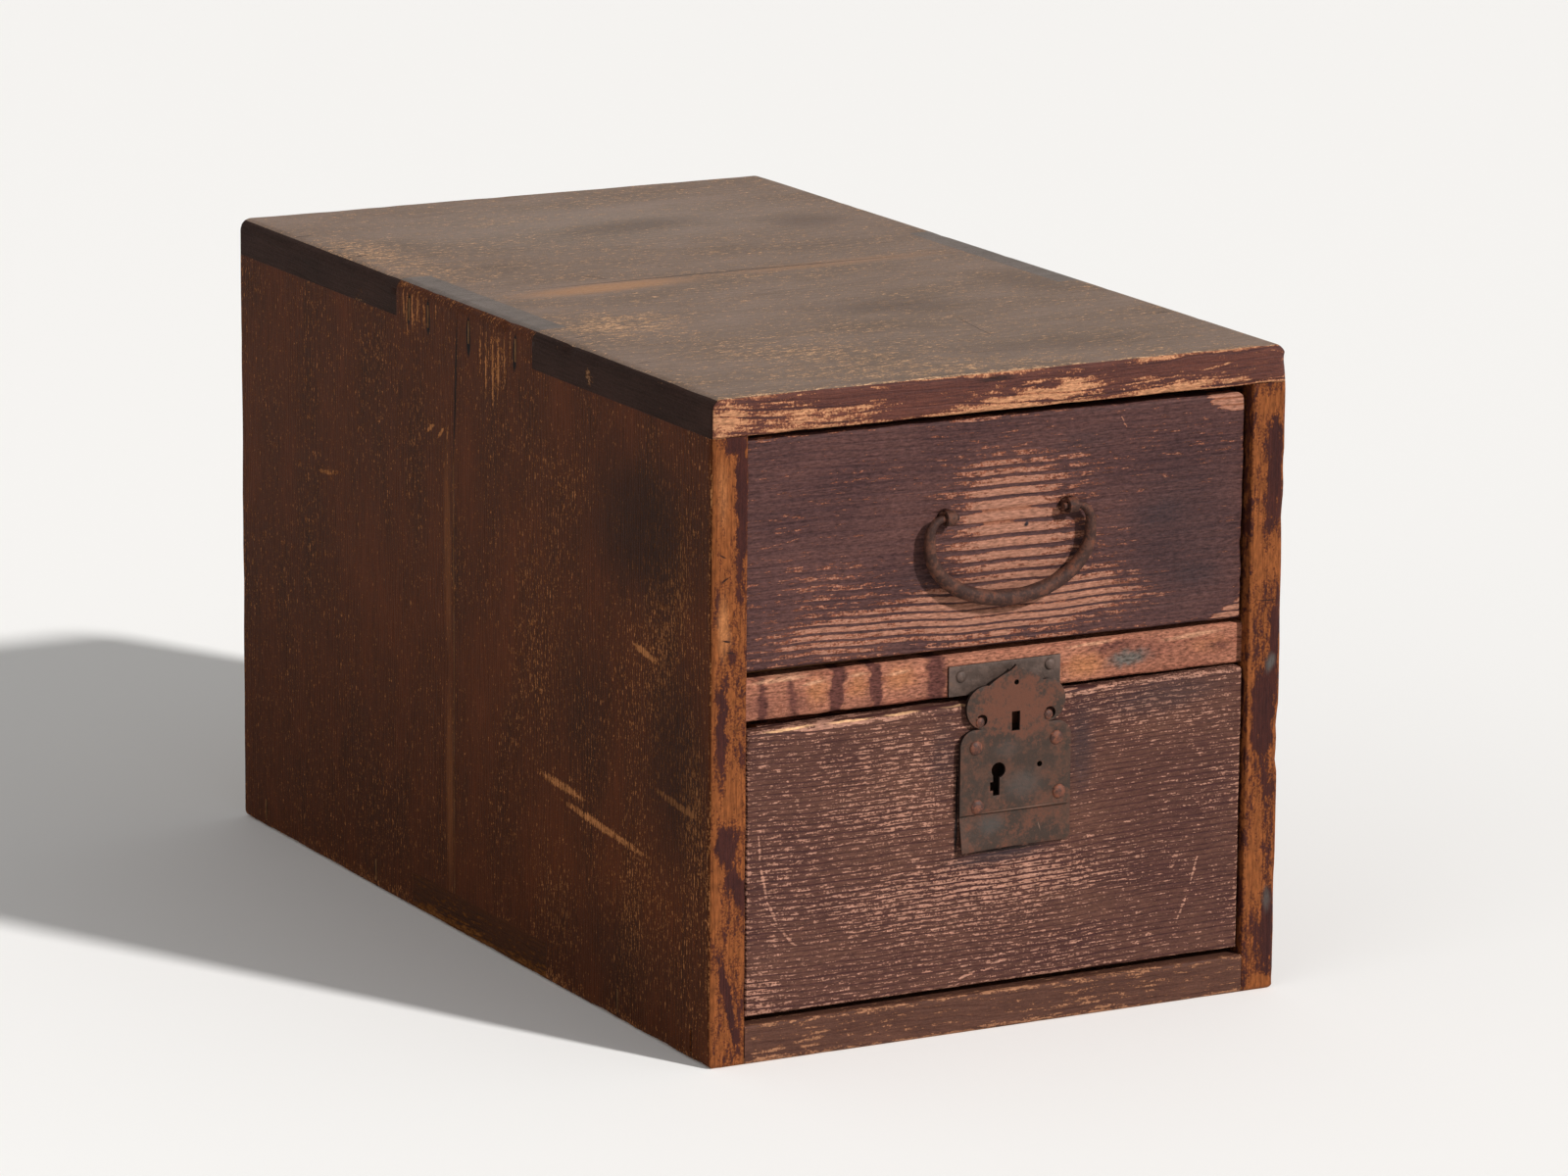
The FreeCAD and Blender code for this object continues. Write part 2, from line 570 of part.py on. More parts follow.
# --- bail and eyes --------------------------------------------------------------------------------
def handle_eye(side):
    """A strap bent round the bail's tip, through the drawer's front and clenched behind it."""
    x = BAIL_X + side * EYE_SPAN / 2
    low, high = x - EYE_WIDTH / 2, x + EYE_WIDTH / 2
    hole = PIVOT_RADIUS + PIVOT_CLEARANCE
    inside_y = UPPER_FACE_Y + DRAWER_FRONT
    ring = rod(hole + EYE_STRAP, Vector(low, PIVOT_Y, PIVOT_Z), Vector(high, PIVOT_Y, PIVOT_Z))
    legs = box(low, high, PIVOT_Y, inside_y, PIVOT_Z - EYE_STRAP, PIVOT_Z + EYE_STRAP)
    clench = box(low, high, inside_y, inside_y + EYE_STRAP, PIVOT_Z - EYE_CLENCH, PIVOT_Z + EYE_CLENCH)
    bore = rod(hole, Vector(low, PIVOT_Y, PIVOT_Z), Vector(high, PIVOT_Y, PIVOT_Z))
    return ring.fuse([legs, clench]).removeSplitter().cut(bore)


def eye_pit(side):
    """The hollow worn into the wood round an eye."""
    x = BAIL_X + side * EYE_SPAN / 2
    mouth = Vector(x, UPPER_FACE_Y, PIVOT_Z - EYE_PIT_DROP)
    floor_radius = EYE_PIT_RADIUS - EYE_PIT_DEPTH
    return Part.makeCone(EYE_PIT_RADIUS, floor_radius, EYE_PIT_DEPTH, mouth, INTO_CHEST)


def bail_line():
    """Places and directions along the right half of the rod, from the eye to the middle of the grip."""
    half = BAIL_WIDTH / 2
    bend_x = half - BAIL_BEND
    bow_z = -BAIL_DROP + BAIL_BOW
    stations = []
    for turn in spaced(0, pi / 2, BEND_STATION_COUNT):
        across, down = BAIL_BEND * sin(turn), BAIL_BEND * (1 - cos(turn))
        stations.append((bend_x + across, -down, cos(turn), -sin(turn)))
    for turn in spaced(0, pi / 2, BOW_STATION_COUNT):
        slope_x, slope_z = -half * sin(turn), -BAIL_BOW * cos(turn)
        length = hypot(slope_x, slope_z)
        stations.append((half * cos(turn), bow_z - BAIL_BOW * sin(turn), slope_x / length, slope_z / length))
    return stations


def bail_section(x, z, along_x, along_z):
    """The rod's hammered section at one station, square to the rod."""
    fullness = (-z / BAIL_DROP) ** BAIL_SWELL if z < 0 else 0.0
    radius = PIVOT_RADIUS + (BAIL_GRIP_RADIUS - PIVOT_RADIUS) * fullness
    centre = Vector(BAIL_X + x, PIVOT_Y, PIVOT_Z + z)
    return regular_outline(centre, Vector(along_z, 0, -along_x), INTO_CHEST, radius, BAIL_FLAT_COUNT)


def bail():
    right = bail_line()
    left = [(-x, z, along_x, -along_z) for x, z, along_x, along_z in reversed(right[:-1])]
    sections = [bail_section(*station) for station in right + left]
    body = Part.makeLoft(sections, True, True)
    tips = []
    for side in (-1, 1):
        outer = side * (BAIL_WIDTH / 2 - BAIL_BEND)
        inner = side * (EYE_SPAN / 2 - EYE_WIDTH / 2 - PIVOT_END)
        tips.append(rod(PIVOT_RADIUS, Vector(BAIL_X + inner, PIVOT_Y, PIVOT_Z),
                        Vector(BAIL_X + outer, PIVOT_Y, PIVOT_Z)))
    return body.fuse(tips)


# --- lock ---------------------------------------------------------------------------------------
def plate_outline():
    """The plate's body with round shoulders, the two lobes of its head and the pointed crown."""
    half = PLATE_WIDTH / 2
    body_low = -PLATE_BODY_TOP - PLATE_BODY_HEIGHT
    body = rounded_face([(-half, body_low, SHEET_CORNER), (half, body_low, SHEET_CORNER),
                         (half, -PLATE_BODY_TOP, SHOULDER_ROUND), (-half, -PLATE_BODY_TOP, SHOULDER_ROUND)])
    lobes = [Part.Face(Part.Wire(Part.Circle(Vector(side * LOBE_SPREAD, 0, -LOBE_DROP), Vector(0, -1, 0),
                                             LOBE_RADIUS).toShape())) for side in (-1, 1)]
    neck_low = -PLATE_BODY_TOP - NECK_LAP
    neck = upright_face([(-LOBE_SPREAD, neck_low), (LOBE_SPREAD, neck_low),
                         (CROWN_FOOT[0], CROWN_FOOT[1]), (-CROWN_FOOT[0], CROWN_FOOT[1])])
    foot, swell, turn, dip = [Vector(x, 0, z) for x, z in (CROWN_FOOT, CROWN_SWELL, CROWN_TURN, CROWN_DIP)]
    tip = Vector(0, 0, CROWN_TIP)
    foot_l, swell_l, turn_l, dip_l = [Vector(-p.x, 0, p.z) for p in (foot, swell, turn, dip)]
    crown = Part.Face(Part.Wire([
        Part.Arc(foot, swell, turn).toShape(), Part.Arc(turn, dip, tip).toShape(),
        Part.Arc(tip, dip_l, turn_l).toShape(), Part.Arc(turn_l, swell_l, foot_l).toShape(),
        Part.LineSegment(foot_l, foot).toShape()]))
    return body, lobes + [neck, crown]


def keyhole(y_front, y_rear):
    """A round hole over a slot with a step on its left, for a key with one ward."""
    centre = Vector(KEYHOLE_X, y_front, -KEYHOLE_DROP)
    drill = rod(KEYHOLE_RADIUS, centre, centre + Vector(0, y_rear - y_front, 0))
    left = KEY_SLOT_X - KEY_SLOT_WIDTH / 2
    slot = box(left, left + KEY_SLOT_WIDTH, y_front, y_rear, -KEY_SLOT_DROP, -KEYHOLE_DROP)
    ward = box(left - KEY_WARD_WIDTH, left + KEY_WARD_WIDTH, y_front, y_rear,
               -KEY_WARD_DROP - KEY_WARD_HEIGHT, -KEY_WARD_DROP)
    return drill.fuse([slot, ward])


def lock_nails():
    """Four nails through the plate, and two in the round holes of its waist."""
    nails = [round_nail(LOCK_X + x, RAIL_Z + z, PLATE_FACE_Y, LOWER_FACE_Y, PLATE_NAIL_HEAD)
             for x, z in PLATE_NAILS]
    for side in (-1, 1):
        x = side * WAIST_HOLE[0] + WAIST_NAIL_SHIFT[0]
        z = WAIST_HOLE[1] + WAIST_NAIL_SHIFT[1]
        nails.append(round_nail(LOCK_X + x, RAIL_Z + z, PLATE_FACE_Y, LOWER_FACE_Y, WAIST_NAIL_HEAD))
    return nails


def lock_plate():
    body, head = plate_outline()
    plate = slab(body, PLATE_FACE_Y, PLATE_BACK_Y).fuse(
        [slab(face, PLATE_FACE_Y, PLATE_BACK_Y) for face in head]).removeSplitter()
    cuts = [keyhole(PLATE_FACE_Y, PLATE_BACK_Y)]
    for x, z, radius in PIN_HOLES:
        cuts.append(rod(radius, Vector(x, PLATE_FACE_Y, z), Vector(x, PLATE_BACK_Y, z)))
    for side in (-1, 1):
        x, z = side * WAIST_HOLE[0], WAIST_HOLE[1]
        cuts.append(rod(WAIST_HOLE_RADIUS, Vector(x, PLATE_FACE_Y, z), Vector(x, PLATE_BACK_Y, z)))
    cuts.append(box(-SLOT_WIDTH / 2, SLOT_WIDTH / 2, PLATE_FACE_Y, PLATE_BACK_Y,
                    -SLOT_DROP - SLOT_HEIGHT / 2, -SLOT_DROP + SLOT_HEIGHT / 2))
    return plate.cut(cuts).translated(Vector(LOCK_X, 0, RAIL_Z)).cut(lock_nails())


def lock_apron():
    """A strip of sheet lapped behind the plate's lower edge."""
    half = PLATE_WIDTH / 2
    low = -PLATE_BODY_TOP - PLATE_BODY_HEIGHT - APRON_SHOWS
    top = low + APRON_HEIGHT
    outline = rounded_face([(-half, low, SHEET_CORNER), (half, low, APRON_CORNER),
                            (half, top, SHEET_CORNER), (-half, top, SHEET_CORNER)])
    strip = slab(outline, PLATE_BACK_Y, LOWER_FACE_Y)
    return strip.translated(Vector(LOCK_X + APRON_SHIFT, 0, RAIL_Z)).cut(lock_nails() + [lock_block()])


def lock_block():
    """The whole space that the lock's case takes up, from the plate into the drawer's front."""
    half = LOCK_WIDTH / 2
    top = RAIL_Z - LOCK_TOP_DROP
    return box(LOCK_X - half, LOCK_X + half, PLATE_BACK_Y, LOWER_FACE_Y + LOCK_DEEP, top - LOCK_HEIGHT, top)


def bolt_way(z_low, z_high):
    """The slot that the bolt slides up through."""
    half = BOLT_WIDTH / 2 + BOLT_CLEARANCE
    middle = LOCK_X + BOLT_X
    return box(middle - half, middle + half, BOLT_FRONT_Y - BOLT_CLEARANCE, BOLT_REAR_Y + BOLT_CLEARANCE,
               z_low, z_high)


def lock_case():
    """A sheet-iron tray behind the plate, with the stud that guides the bolt."""
    top = RAIL_Z - LOCK_TOP_DROP
    half = LOCK_WIDTH / 2 - LOCK_WALL
    back_y = LOWER_FACE_Y + LOCK_DEEP - LOCK_WALL
    hollow = box(LOCK_X - half, LOCK_X + half, PLATE_BACK_Y, back_y,
                 top - LOCK_HEIGHT + LOCK_WALL, top - LOCK_WALL)
    tray = lock_block().cut([hollow, bolt_way(top - LOCK_WALL, top)])
    x = LOCK_X + BOLT_X
    head_front = BOLT_FRONT_Y - BOLT_CLEARANCE - LOCK_WALL
    stem = rod(STUD_RADIUS, Vector(x, head_front, STUD_Z), Vector(x, back_y, STUD_Z))
    head = rod(STUD_HEAD, Vector(x, head_front, STUD_Z), Vector(x, BOLT_FRONT_Y - BOLT_CLEARANCE, STUD_Z))
    collar = rod(STUD_HEAD, Vector(x, BOLT_REAR_Y + BOLT_CLEARANCE, STUD_Z), Vector(x, back_y, STUD_Z))
    return tray.fuse([stem, head, collar])


def lock_bolt():
    """The bolt with the notch that the key turns in and the slot that rides on the stud."""
    middle = LOCK_X + BOLT_X
    half = BOLT_WIDTH / 2
    blade = box(middle - half, middle + half, BOLT_FRONT_Y, BOLT_REAR_Y, BOLT_FOOT_Z, BOLT_TOP_Z)
    talon_low = BOLT_FOOT_Z + TALON_UP
    talon = box(middle - half, middle - half + TALON_DEEP, BOLT_FRONT_Y, BOLT_REAR_Y,
                talon_low, talon_low + TALON_HEIGHT)
    radius = STUD_RADIUS + BOLT_CLEARANCE
    slot = [box(middle - radius, middle + radius, BOLT_FRONT_Y, BOLT_REAR_Y, STUD_Z - BOLT_TRAVEL, STUD_Z)]
    for z in (STUD_Z - BOLT_TRAVEL, STUD_Z):
        slot.append(rod(radius, Vector(middle, BOLT_FRONT_Y, z), Vector(middle, BOLT_REAR_Y, z)))
    return blade.cut([talon] + slot)


def lock_spring():
    """A leaf spring between the case's right wall and the bolt, with a foot at its upper end."""
    wall_x = LOCK_X + LOCK_WIDTH / 2 - LOCK_WALL
    skin_x = wall_x - SPRING_THICK
    bow_x = LOCK_X + BOLT_X + BOLT_WIDTH / 2 + BOLT_CLEARANCE
    top = BOLT_FOOT_Z + SPRING_TOP_UP
    low = top - SPRING_REACH
    middle = (top + low) / 2
    wall_low, wall_top = Vector(wall_x, 0, low), Vector(wall_x, 0, top)
    skin_low, skin_top = Vector(skin_x, 0, low), Vector(skin_x, 0, top)
    leaf = Part.Face(Part.Wire([
        Part.Arc(wall_low, Vector(bow_x + SPRING_THICK, 0, middle), wall_top).toShape(),
        Part.LineSegment(wall_top, skin_top).toShape(),
        Part.Arc(skin_top, Vector(bow_x, 0, middle), skin_low).toShape(),
        Part.LineSegment(skin_low, wall_low).toShape()]))
    foot_top = top + SPRING_FOOT
    foot = upright_face([(skin_x, top), (wall_x, top), (wall_x, foot_top), (skin_x, foot_top)])
    return slab(leaf, BOLT_FRONT_Y, BOLT_REAR_Y).fuse(slab(foot, BOLT_FRONT_Y, BOLT_REAR_Y)).removeSplitter()


# --- assembly -------------------------------------------------------------------------------------
def upper_drawer_nodes():
    nodes = drawer_nodes("upper_drawer", RAIL_TOP_Z, CEILING_Z, UPPER_FACE_Y, UPPER_GAP_UNDER,
                         UPPER_GAP_OVER, UPPER_CORNER_PEG_COUNT)
    left, right = handle_eye(-1), handle_eye(1)
    nodes["upper_drawer_front"] = nodes["upper_drawer_front"].cut([eye_pit(-1), eye_pit(1), left, right])
    nodes["handle_eye_left"], nodes["handle_eye_right"] = left, right
    nodes["bail_handle"] = bail()
    return nodes


def lower_drawer_nodes():
    nodes = drawer_nodes("lower_drawer", BOARD, RAIL_Z, LOWER_FACE_Y, LOWER_GAP_UNDER,
                         LOWER_GAP_OVER, LOWER_CORNER_PEG_COUNT)
    nails = lock_nails()
    way = bolt_way(RAIL_Z - LOCK_TOP_DROP, RAIL_Z)
    nodes["lower_drawer_front"] = nodes["lower_drawer_front"].cut([lock_block(), way] + nails)
    nodes["lock_plate"] = lock_plate()
    nodes["lock_apron"] = lock_apron()
    nodes["lock_nails"] = Part.makeCompound(nails)
    nodes["lock_case"] = lock_case()
    nodes["lock_bolt"] = lock_bolt()
    nodes["lock_spring"] = lock_spring()
    return nodes


def main():
    os.makedirs("parts", exist_ok=True)
    nodes = {**case_nodes(), **upper_drawer_nodes(), **lower_drawer_nodes()}
    for name, shape in nodes.items():
        shape.exportStep("parts/" + name + ".step")
        print(name, len(shape.Solids), round(shape.Volume), shape.isValid())


main()
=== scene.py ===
from functools import partial
from math import atan2, cos, degrees, floor, hypot, pi, radians, sin

import bmesh
import bpy
from mathutils import Matrix, Vector, noise


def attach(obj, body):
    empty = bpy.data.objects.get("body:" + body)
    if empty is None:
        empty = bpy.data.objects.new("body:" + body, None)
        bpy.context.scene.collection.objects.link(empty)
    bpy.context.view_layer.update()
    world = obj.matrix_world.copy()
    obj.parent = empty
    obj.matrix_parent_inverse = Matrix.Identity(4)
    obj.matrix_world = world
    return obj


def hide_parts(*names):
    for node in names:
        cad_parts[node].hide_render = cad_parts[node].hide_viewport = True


# Dresses the small chest of two drawers. Boards are copies of the frame's boards with their joint
# lines eased, their arrises worn and the drawer fronts' grain raised; the iron is bent and hammered.
# Shapes are worked in millimetres and scaled to metres as each piece is finished.

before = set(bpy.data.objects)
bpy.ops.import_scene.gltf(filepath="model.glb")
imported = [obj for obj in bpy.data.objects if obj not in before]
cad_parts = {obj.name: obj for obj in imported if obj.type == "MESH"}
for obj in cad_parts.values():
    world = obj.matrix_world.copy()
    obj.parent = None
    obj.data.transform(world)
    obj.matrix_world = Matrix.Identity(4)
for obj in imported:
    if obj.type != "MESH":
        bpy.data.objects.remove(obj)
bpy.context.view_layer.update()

MM = 0.001
X, Y, Z = 0, 1, 2
HALF_WIDTH, HALF_DEPTH, HEIGHT = 136.0, 230.5, 280.0
INNER_X, BOARD = 119.5, 16.5
SIDE_SEAM, TOP_SEAM, BOTTOM_SEAM = 8.0, 16.0, 20.0
UPPER_FACE_Y, LOWER_FACE_Y = -226.0, -228.1
FRONT_HALF, FRONT_THICK = 118.3, 17.0
RAIL_HALF, RAIL_FACE_Y = 124.5, -224.9
RAIL_Z, RAIL_TOP_Z = 143.2, 160.9
PIVOT = Vector((3.0, -230.5, 220.5))
LOCK_X, PLATE_FACE_Y = 6.9, -230.4
STRIKE_X, STRIKE_THICK = 3.9, 1.0

# Boxes give the low and high end on each axis.
CASE_BOX = ((-HALF_WIDTH, HALF_WIDTH), (-HALF_DEPTH, HALF_DEPTH), (0.0, HEIGHT))
TOP_BOX = ((-HALF_WIDTH, HALF_WIDTH), (-HALF_DEPTH, TOP_SEAM), (HEIGHT - BOARD, HEIGHT))
BOTTOM_BOX = ((-HALF_WIDTH, HALF_WIDTH), (-HALF_DEPTH, BOTTOM_SEAM), (0.0, BOARD))
UPPER_FRONT_BOX = ((-FRONT_HALF, FRONT_HALF), (UPPER_FACE_Y, UPPER_FACE_Y + FRONT_THICK), (163.8, 260.7))
LOWER_FRONT_BOX = ((-FRONT_HALF, FRONT_HALF), (LOWER_FACE_Y, LOWER_FACE_Y + FRONT_THICK), (19.5, 141.0))


# --- grain ----------------------------------------------------------------------------------------
# Growth rings as circles round a far pith: (across, depth) of the pith from the board, the rings'
# width, the bends of the lines along the board as (height, length, start), and how the width swells
# across it as (share, length, start). The drawer fronts' relief and their finish use the same rings.
GRAINS = {
    "upper_front": {"pith": (-520, 60), "width": 3.66, "swell": (1.18, 88, 3.38),
                    "bends": ((2.2, 410, 0.6), (0.5, 130, 2), (0.25, 47, 4))},
    "lower_front": {"pith": (-460, -30), "width": 2.35, "swell": (0.7, 61, 0),
                    "bends": ((1.6, 380, 2.2), (0.35, 105, 0.3), (0.15, 31, 1))},
    "rail": {"pith": (-60, 40), "width": 6.5, "swell": (0.5, 50, 0),
             "bends": ((1.2, 120, 0), (0.5, 37, 1.2), (0.2, 13, 0.4))},
    "top": {"pith": (-330, -190), "width": 3.1, "swell": (1.2, 140, 0),
            "bends": ((3, 420, 1), (0.9, 120, 0), (0.3, 37, 2))},
    "side": {"pith": (-610, -150), "width": 2.3, "swell": (1.4, 120, 1),
             "bends": ((2.6, 390, 0), (0.7, 110, 1), (0.2, 41, 2))},
    "back_lower": {"pith": (64, 352), "width": 5.2, "swell": (0.5, 60, 0),
                   "bends": ((4.5, 620, 0.4), (0.9, 190, 2), (0.2, 52, 1))},
    "back_upper": {"pith": (300, 300), "width": 4.3, "swell": (0.6, 70, 1),
                   "bends": ((3.6, 520, 2.4), (0.7, 160, 0), (0.15, 47, 2))},
    "drawer_board": {"pith": (250, -60), "width": 3.4, "swell": (0.6, 55, 1),
                     "bends": ((3, 520, 1.4), (0.7, 150, 0), (0.15, 43, 2))},
    "bottom": {"pith": (-300, 90), "width": 2.7, "swell": (0.9, 80, 0),
               "bends": ((2, 300, 0), (0.5, 90, 1), (0.2, 33, 2))},
}


def ring_share(grain, along, across, depth):
    """How far a place lies through its growth ring, from 0 to 1."""
    radius = hypot(across - grain["pith"][0], depth - grain["pith"][1])
    for height, length, start in grain["bends"]:
        radius += height * sin(2 * pi * along / length + start)
    share, length, start = grain["swell"]
    count = radius / grain["width"] + share * sin(2 * pi * radius / length + start)
    return count - floor(count)


# --- mesh helpers ---------------------------------------------------------------------------------
WELD = 0.002
FLAT_ANGLE = radians(1.0)
SHARP_ANGLE = radians(32.0)


def cad_copy(*names):
    """Some nodes' surfaces as one welded mesh in millimetres, with each flat face whole."""
    bm = bmesh.new()
    for name in names:
        bm.from_mesh(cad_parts[name].data)
    bmesh.ops.scale(bm, vec=(1 / MM, 1 / MM, 1 / MM), verts=bm.verts)
    bmesh.ops.remove_doubles(bm, verts=bm.verts, dist=WELD)
    bmesh.ops.dissolve_limit(bm, angle_limit=FLAT_ANGLE, verts=bm.verts, edges=bm.edges)
    bm.normal_update()
    for face in bm.faces:
        face.material_index = 0
    return bm


def ease_edges(bm, width, segments=1, shortest=0.0):
    """Takes the sharpness off every edge that is longer than the shortest."""
    sharp = [edge for edge in bm.edges if edge.is_manifold and edge.calc_face_angle() > SHARP_ANGLE
             and edge.calc_length() > shortest]
    bmesh.ops.bevel(bm, geom=sharp, offset=width, offset_type="OFFSET", segments=segments, profile=0.5,
                    affect="EDGES", clamp_overlap=True, material=-1)
    bm.normal_update()


def spaced(low, high, step):
    """Places between two ends, about one step apart."""
    count = max(1, round((high - low) / step))
    return [low + (high - low) * place / count for place in range(1, count)]


def slice_faces(bm, axis, places, chosen=None):
    """Cuts the chosen faces at a row of places along one axis."""
    plane_no = Vector((axis == X, axis == Y, axis == Z))
    faces = [face for face in bm.faces if chosen is None or chosen(face)]
    geom = list({part for face in faces for part in (face, *face.edges, *face.verts)})
    for place in places:
        geom = bmesh.ops.bisect_plane(bm, geom=geom, dist=WELD, plane_co=plane_no * place,
                                      plane_no=plane_no)["geom"]


def wander(along, length, seed):
    """A slow wander between about -1 and 1 along an arris."""
    return 1.6 * noise.noise(Vector((along / length, seed, 0.5)))


def wear_arrises(bm, sides, arrises):
    """Rounds the listed arrises of a box by radii that wander along them.

    sides gives each axis's (low, high) at a point. arrises is {(axis, end, other axis, other end):
    (radius, swing, length of the swings)}, with end 0 for the low side and 1 for the high side.
    """
    for seed, (arris, (radius, swing, length)) in enumerate(arrises.items()):
        first, first_end, second, second_end = arris
        along = 3 - first - second
        for vert in bm.verts:
            box = sides(vert.co) if callable(sides) else sides
            first_in = abs(box[first][first_end] - vert.co[first])
            second_in = abs(box[second][second_end] - vert.co[second])
            if max(first_in, second_in) > radius + 3 * swing:
                continue
            place = vert.co[along]
            # Now and then the wander is deep enough to be a chip.
            chips = max(0.0, wander(place, length / 2.7, seed + 9.3)) ** 2
            here = radius + swing * (wander(place, length, seed + 0.7) + 1.2 * chips)
            first_out, second_out = here - first_in, here - second_in
            if min(first_out, second_out) <= 0:
                continue
            reach = hypot(first_out, second_out)
            if reach > here:
                shrink = here / reach
                inward = (1 if first_end == 0 else -1), (1 if second_end == 0 else -1)
                vert.co[first] = box[first][first_end] + inward[0] * (here - first_out * shrink)
                vert.co[second] = box[second][second_end] + inward[1] * (here - second_out * shrink)
    bm.normal_update()


def finish_piece(bm, name, body, materials, nodes):
    """Turns a mesh in millimetres into a finished piece that stands for its nodes."""
    bm.normal_update()
    for face in bm.faces:
        face.smooth = True
    bmesh.ops.scale(bm, vec=(MM, MM, MM), verts=bm.verts)
    mesh = bpy.data.meshes.new(name)
    bm.to_mesh(mesh)
    bm.free()
    mesh.set_sharp_from_angle(angle=SHARP_ANGLE)
    for material in materials:
        mesh.materials.append(material)
    piece = bpy.data.objects.new(name, mesh)
    bpy.context.scene.collection.objects.link(piece)
    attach(piece, body)
    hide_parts(*nodes)


# --- materials ------------------------------------------------------------------------------------
# How a board lies: which axes run along its grain, across its face and through it.
LIES = {"front": (X, Z, Y), "top": (X, Y, Z), "side": (Z, Y, X), "post": (Z, X, Y), "end": (Y, Z, X)}
PLANES = {"xz": (X, Z), "yz": (Y, Z), "xy": (X, Y)}


def linear(code):
    """A hex sRGB colour as linear red, green, blue and alpha."""
    shares = [int(code[place:place + 2], 16) / 255 for place in (1, 3, 5)]
    return tuple(s / 12.92 if s <= 0.04045 else ((s + 0.055) / 1.055) ** 2.4 for s in shares) + (1.0,)


def add_node(tree, kind, feeds=None, **settings):
    """Adds a node with its settings, feeds its inputs and gives its first output."""
    node = tree.nodes.new("ShaderNode" + kind)
    for name, value in settings.items():
        setattr(node, name, value)
    for key, value in (feeds or {}).items():
        if isinstance(value, bpy.types.NodeSocket):
            tree.links.new(value, node.inputs[key])
        else:
            node.inputs[key].default_value = value
    return node.outputs[0] if node.outputs else None


def new_material(name):
    """An empty material, and the function that adds nodes to it."""
    material = bpy.data.materials.new(name)
    material.use_nodes = True
    material.node_tree.nodes.clear()
    return material, partial(add_node, material.node_tree)


def finish_surface(add, colour, roughness, height, relief, metallic=0.0, sheen=0.5):
    """The shader: a colour, a roughness and a bump whose height is in millimetres."""
    bump = add("Bump", {"Height": height, "Distance": relief * MM, "Strength": 1.0})
    shader = add("BsdfPrincipled", {"Base Color": colour, "Roughness": roughness, "Normal": bump,
                                    "Metallic": metallic, "Specular IOR Level": sheen})
    add("OutputMaterial", {"Surface": shader})


def ring_nodes(add, grain, along, across, depth):
    """The same rings as ring_share, as nodes."""
    offset = add("CombineXYZ", {"X": add("Math", {0: across, 1: grain["pith"][0]}, operation="SUBTRACT"),
                                "Y": add("Math", {0: depth, 1: grain["pith"][1]}, operation="SUBTRACT")})
    radius = add("VectorMath", {0: offset}, operation="LENGTH").node.outputs["Value"]
    for height, length, start in grain["bends"]:
        turn = add("Math", {0: along, 1: 2 * pi / length, 2: start}, operation="MULTIPLY_ADD")
        radius = add("Math", {0: add("Math", {0: turn}, operation="SINE"), 1: height, 2: radius},
                     operation="MULTIPLY_ADD")
    share, length, start = grain["swell"]
    turn = add("Math", {0: radius, 1: 2 * pi / length, 2: start}, operation="MULTIPLY_ADD")
    swell = add("Math", {0: add("Math", {0: turn}, operation="SINE"), 1: share}, operation="MULTIPLY")
    count = add("Math", {0: radius, 1: 1 / grain["width"], 2: swell}, operation="MULTIPLY_ADD")
    return add("Math", {0: count}, operation="FRACT")


def patch(add, place, plane, centre, half_size, turn, soft):
    """How deep a place lies inside an ellipse drawn on a plane: 1 within, 0 outside."""
    first, second = PLANES[plane]
    off = 3 - first - second
    where, size, angles = [0.0] * 3, [1e5] * 3, [0.0] * 3
    where[first], where[second] = centre
    size[first], size[second] = half_size
    angles[off] = radians(turn) * (-1 if off == Y else 1)
    local = add("Mapping", {"Vector": place, "Location": where, "Rotation": angles, "Scale": size},
                vector_type="TEXTURE")
    away = add("VectorMath", {0: local}, operation="LENGTH").node.outputs["Value"]
    return add("MapRange", {"Value": away, "From Min": 1.0, "From Max": 1.0 - soft},
               interpolation_type="SMOOTHSTEP")


def add_patches(add, place, plane, patches, amount):
    """Adds soft ellipses, each (u, v, half length, half height, turn, strength), to an amount."""
    for u, v, half_u, half_v, turn, strength in patches:
        inside = patch(add, place, plane, (u, v), (half_u, half_v), turn, 0.85)
        amount = add("Math", {0: inside, 1: strength, 2: amount}, operation="MULTIPLY_ADD")
    return amount


def add_scratches(add, place, plane, scratches, amount):
    """Adds thin marks, each (u, v, end u, end v, half width, strength), to an amount."""
    for u, v, end_u, end_v, half_width, strength in scratches:
        length, turn = hypot(end_u - u, end_v - v), degrees(atan2(end_v - v, end_u - u))
        middle = ((u + end_u) / 2, (v + end_v) / 2)
        inside = patch(add, place, plane, middle, (length / 2 + half_width, half_width), turn, 0.7)
        amount = add("Math", {0: inside, 1: strength, 2: amount}, operation="MULTIPLY_ADD")
    return amount


def streaks(add, laid, length, width, detail=3.0, roughness=0.6):
    """Noise drawn out along the grain, in streaks of about this length and width in millimetres."""
    stretched = add("VectorMath", {0: laid, 1: (1 / length, 1 / width, 1 / width)}, operation="MULTIPLY")
    return add("TexNoise", {"Vector": stretched, "Scale": 1.0, "Detail": detail, "Roughness": roughness})


def shaken(add, place, reach, size):
    """A place pushed about, so that marks get ragged sides."""
    shake = add("TexNoise", {"Vector": place, "Scale": 1 / size, "Detail": 2.0}).node.outputs["Color"]
    shake = add("VectorMath", {0: shake, 1: (0.5, 0.5, 0.5)}, operation="SUBTRACT")
    return add("VectorMath", {0: shake, 1: (reach, reach, reach), 2: place}, operation="MULTIPLY_ADD")


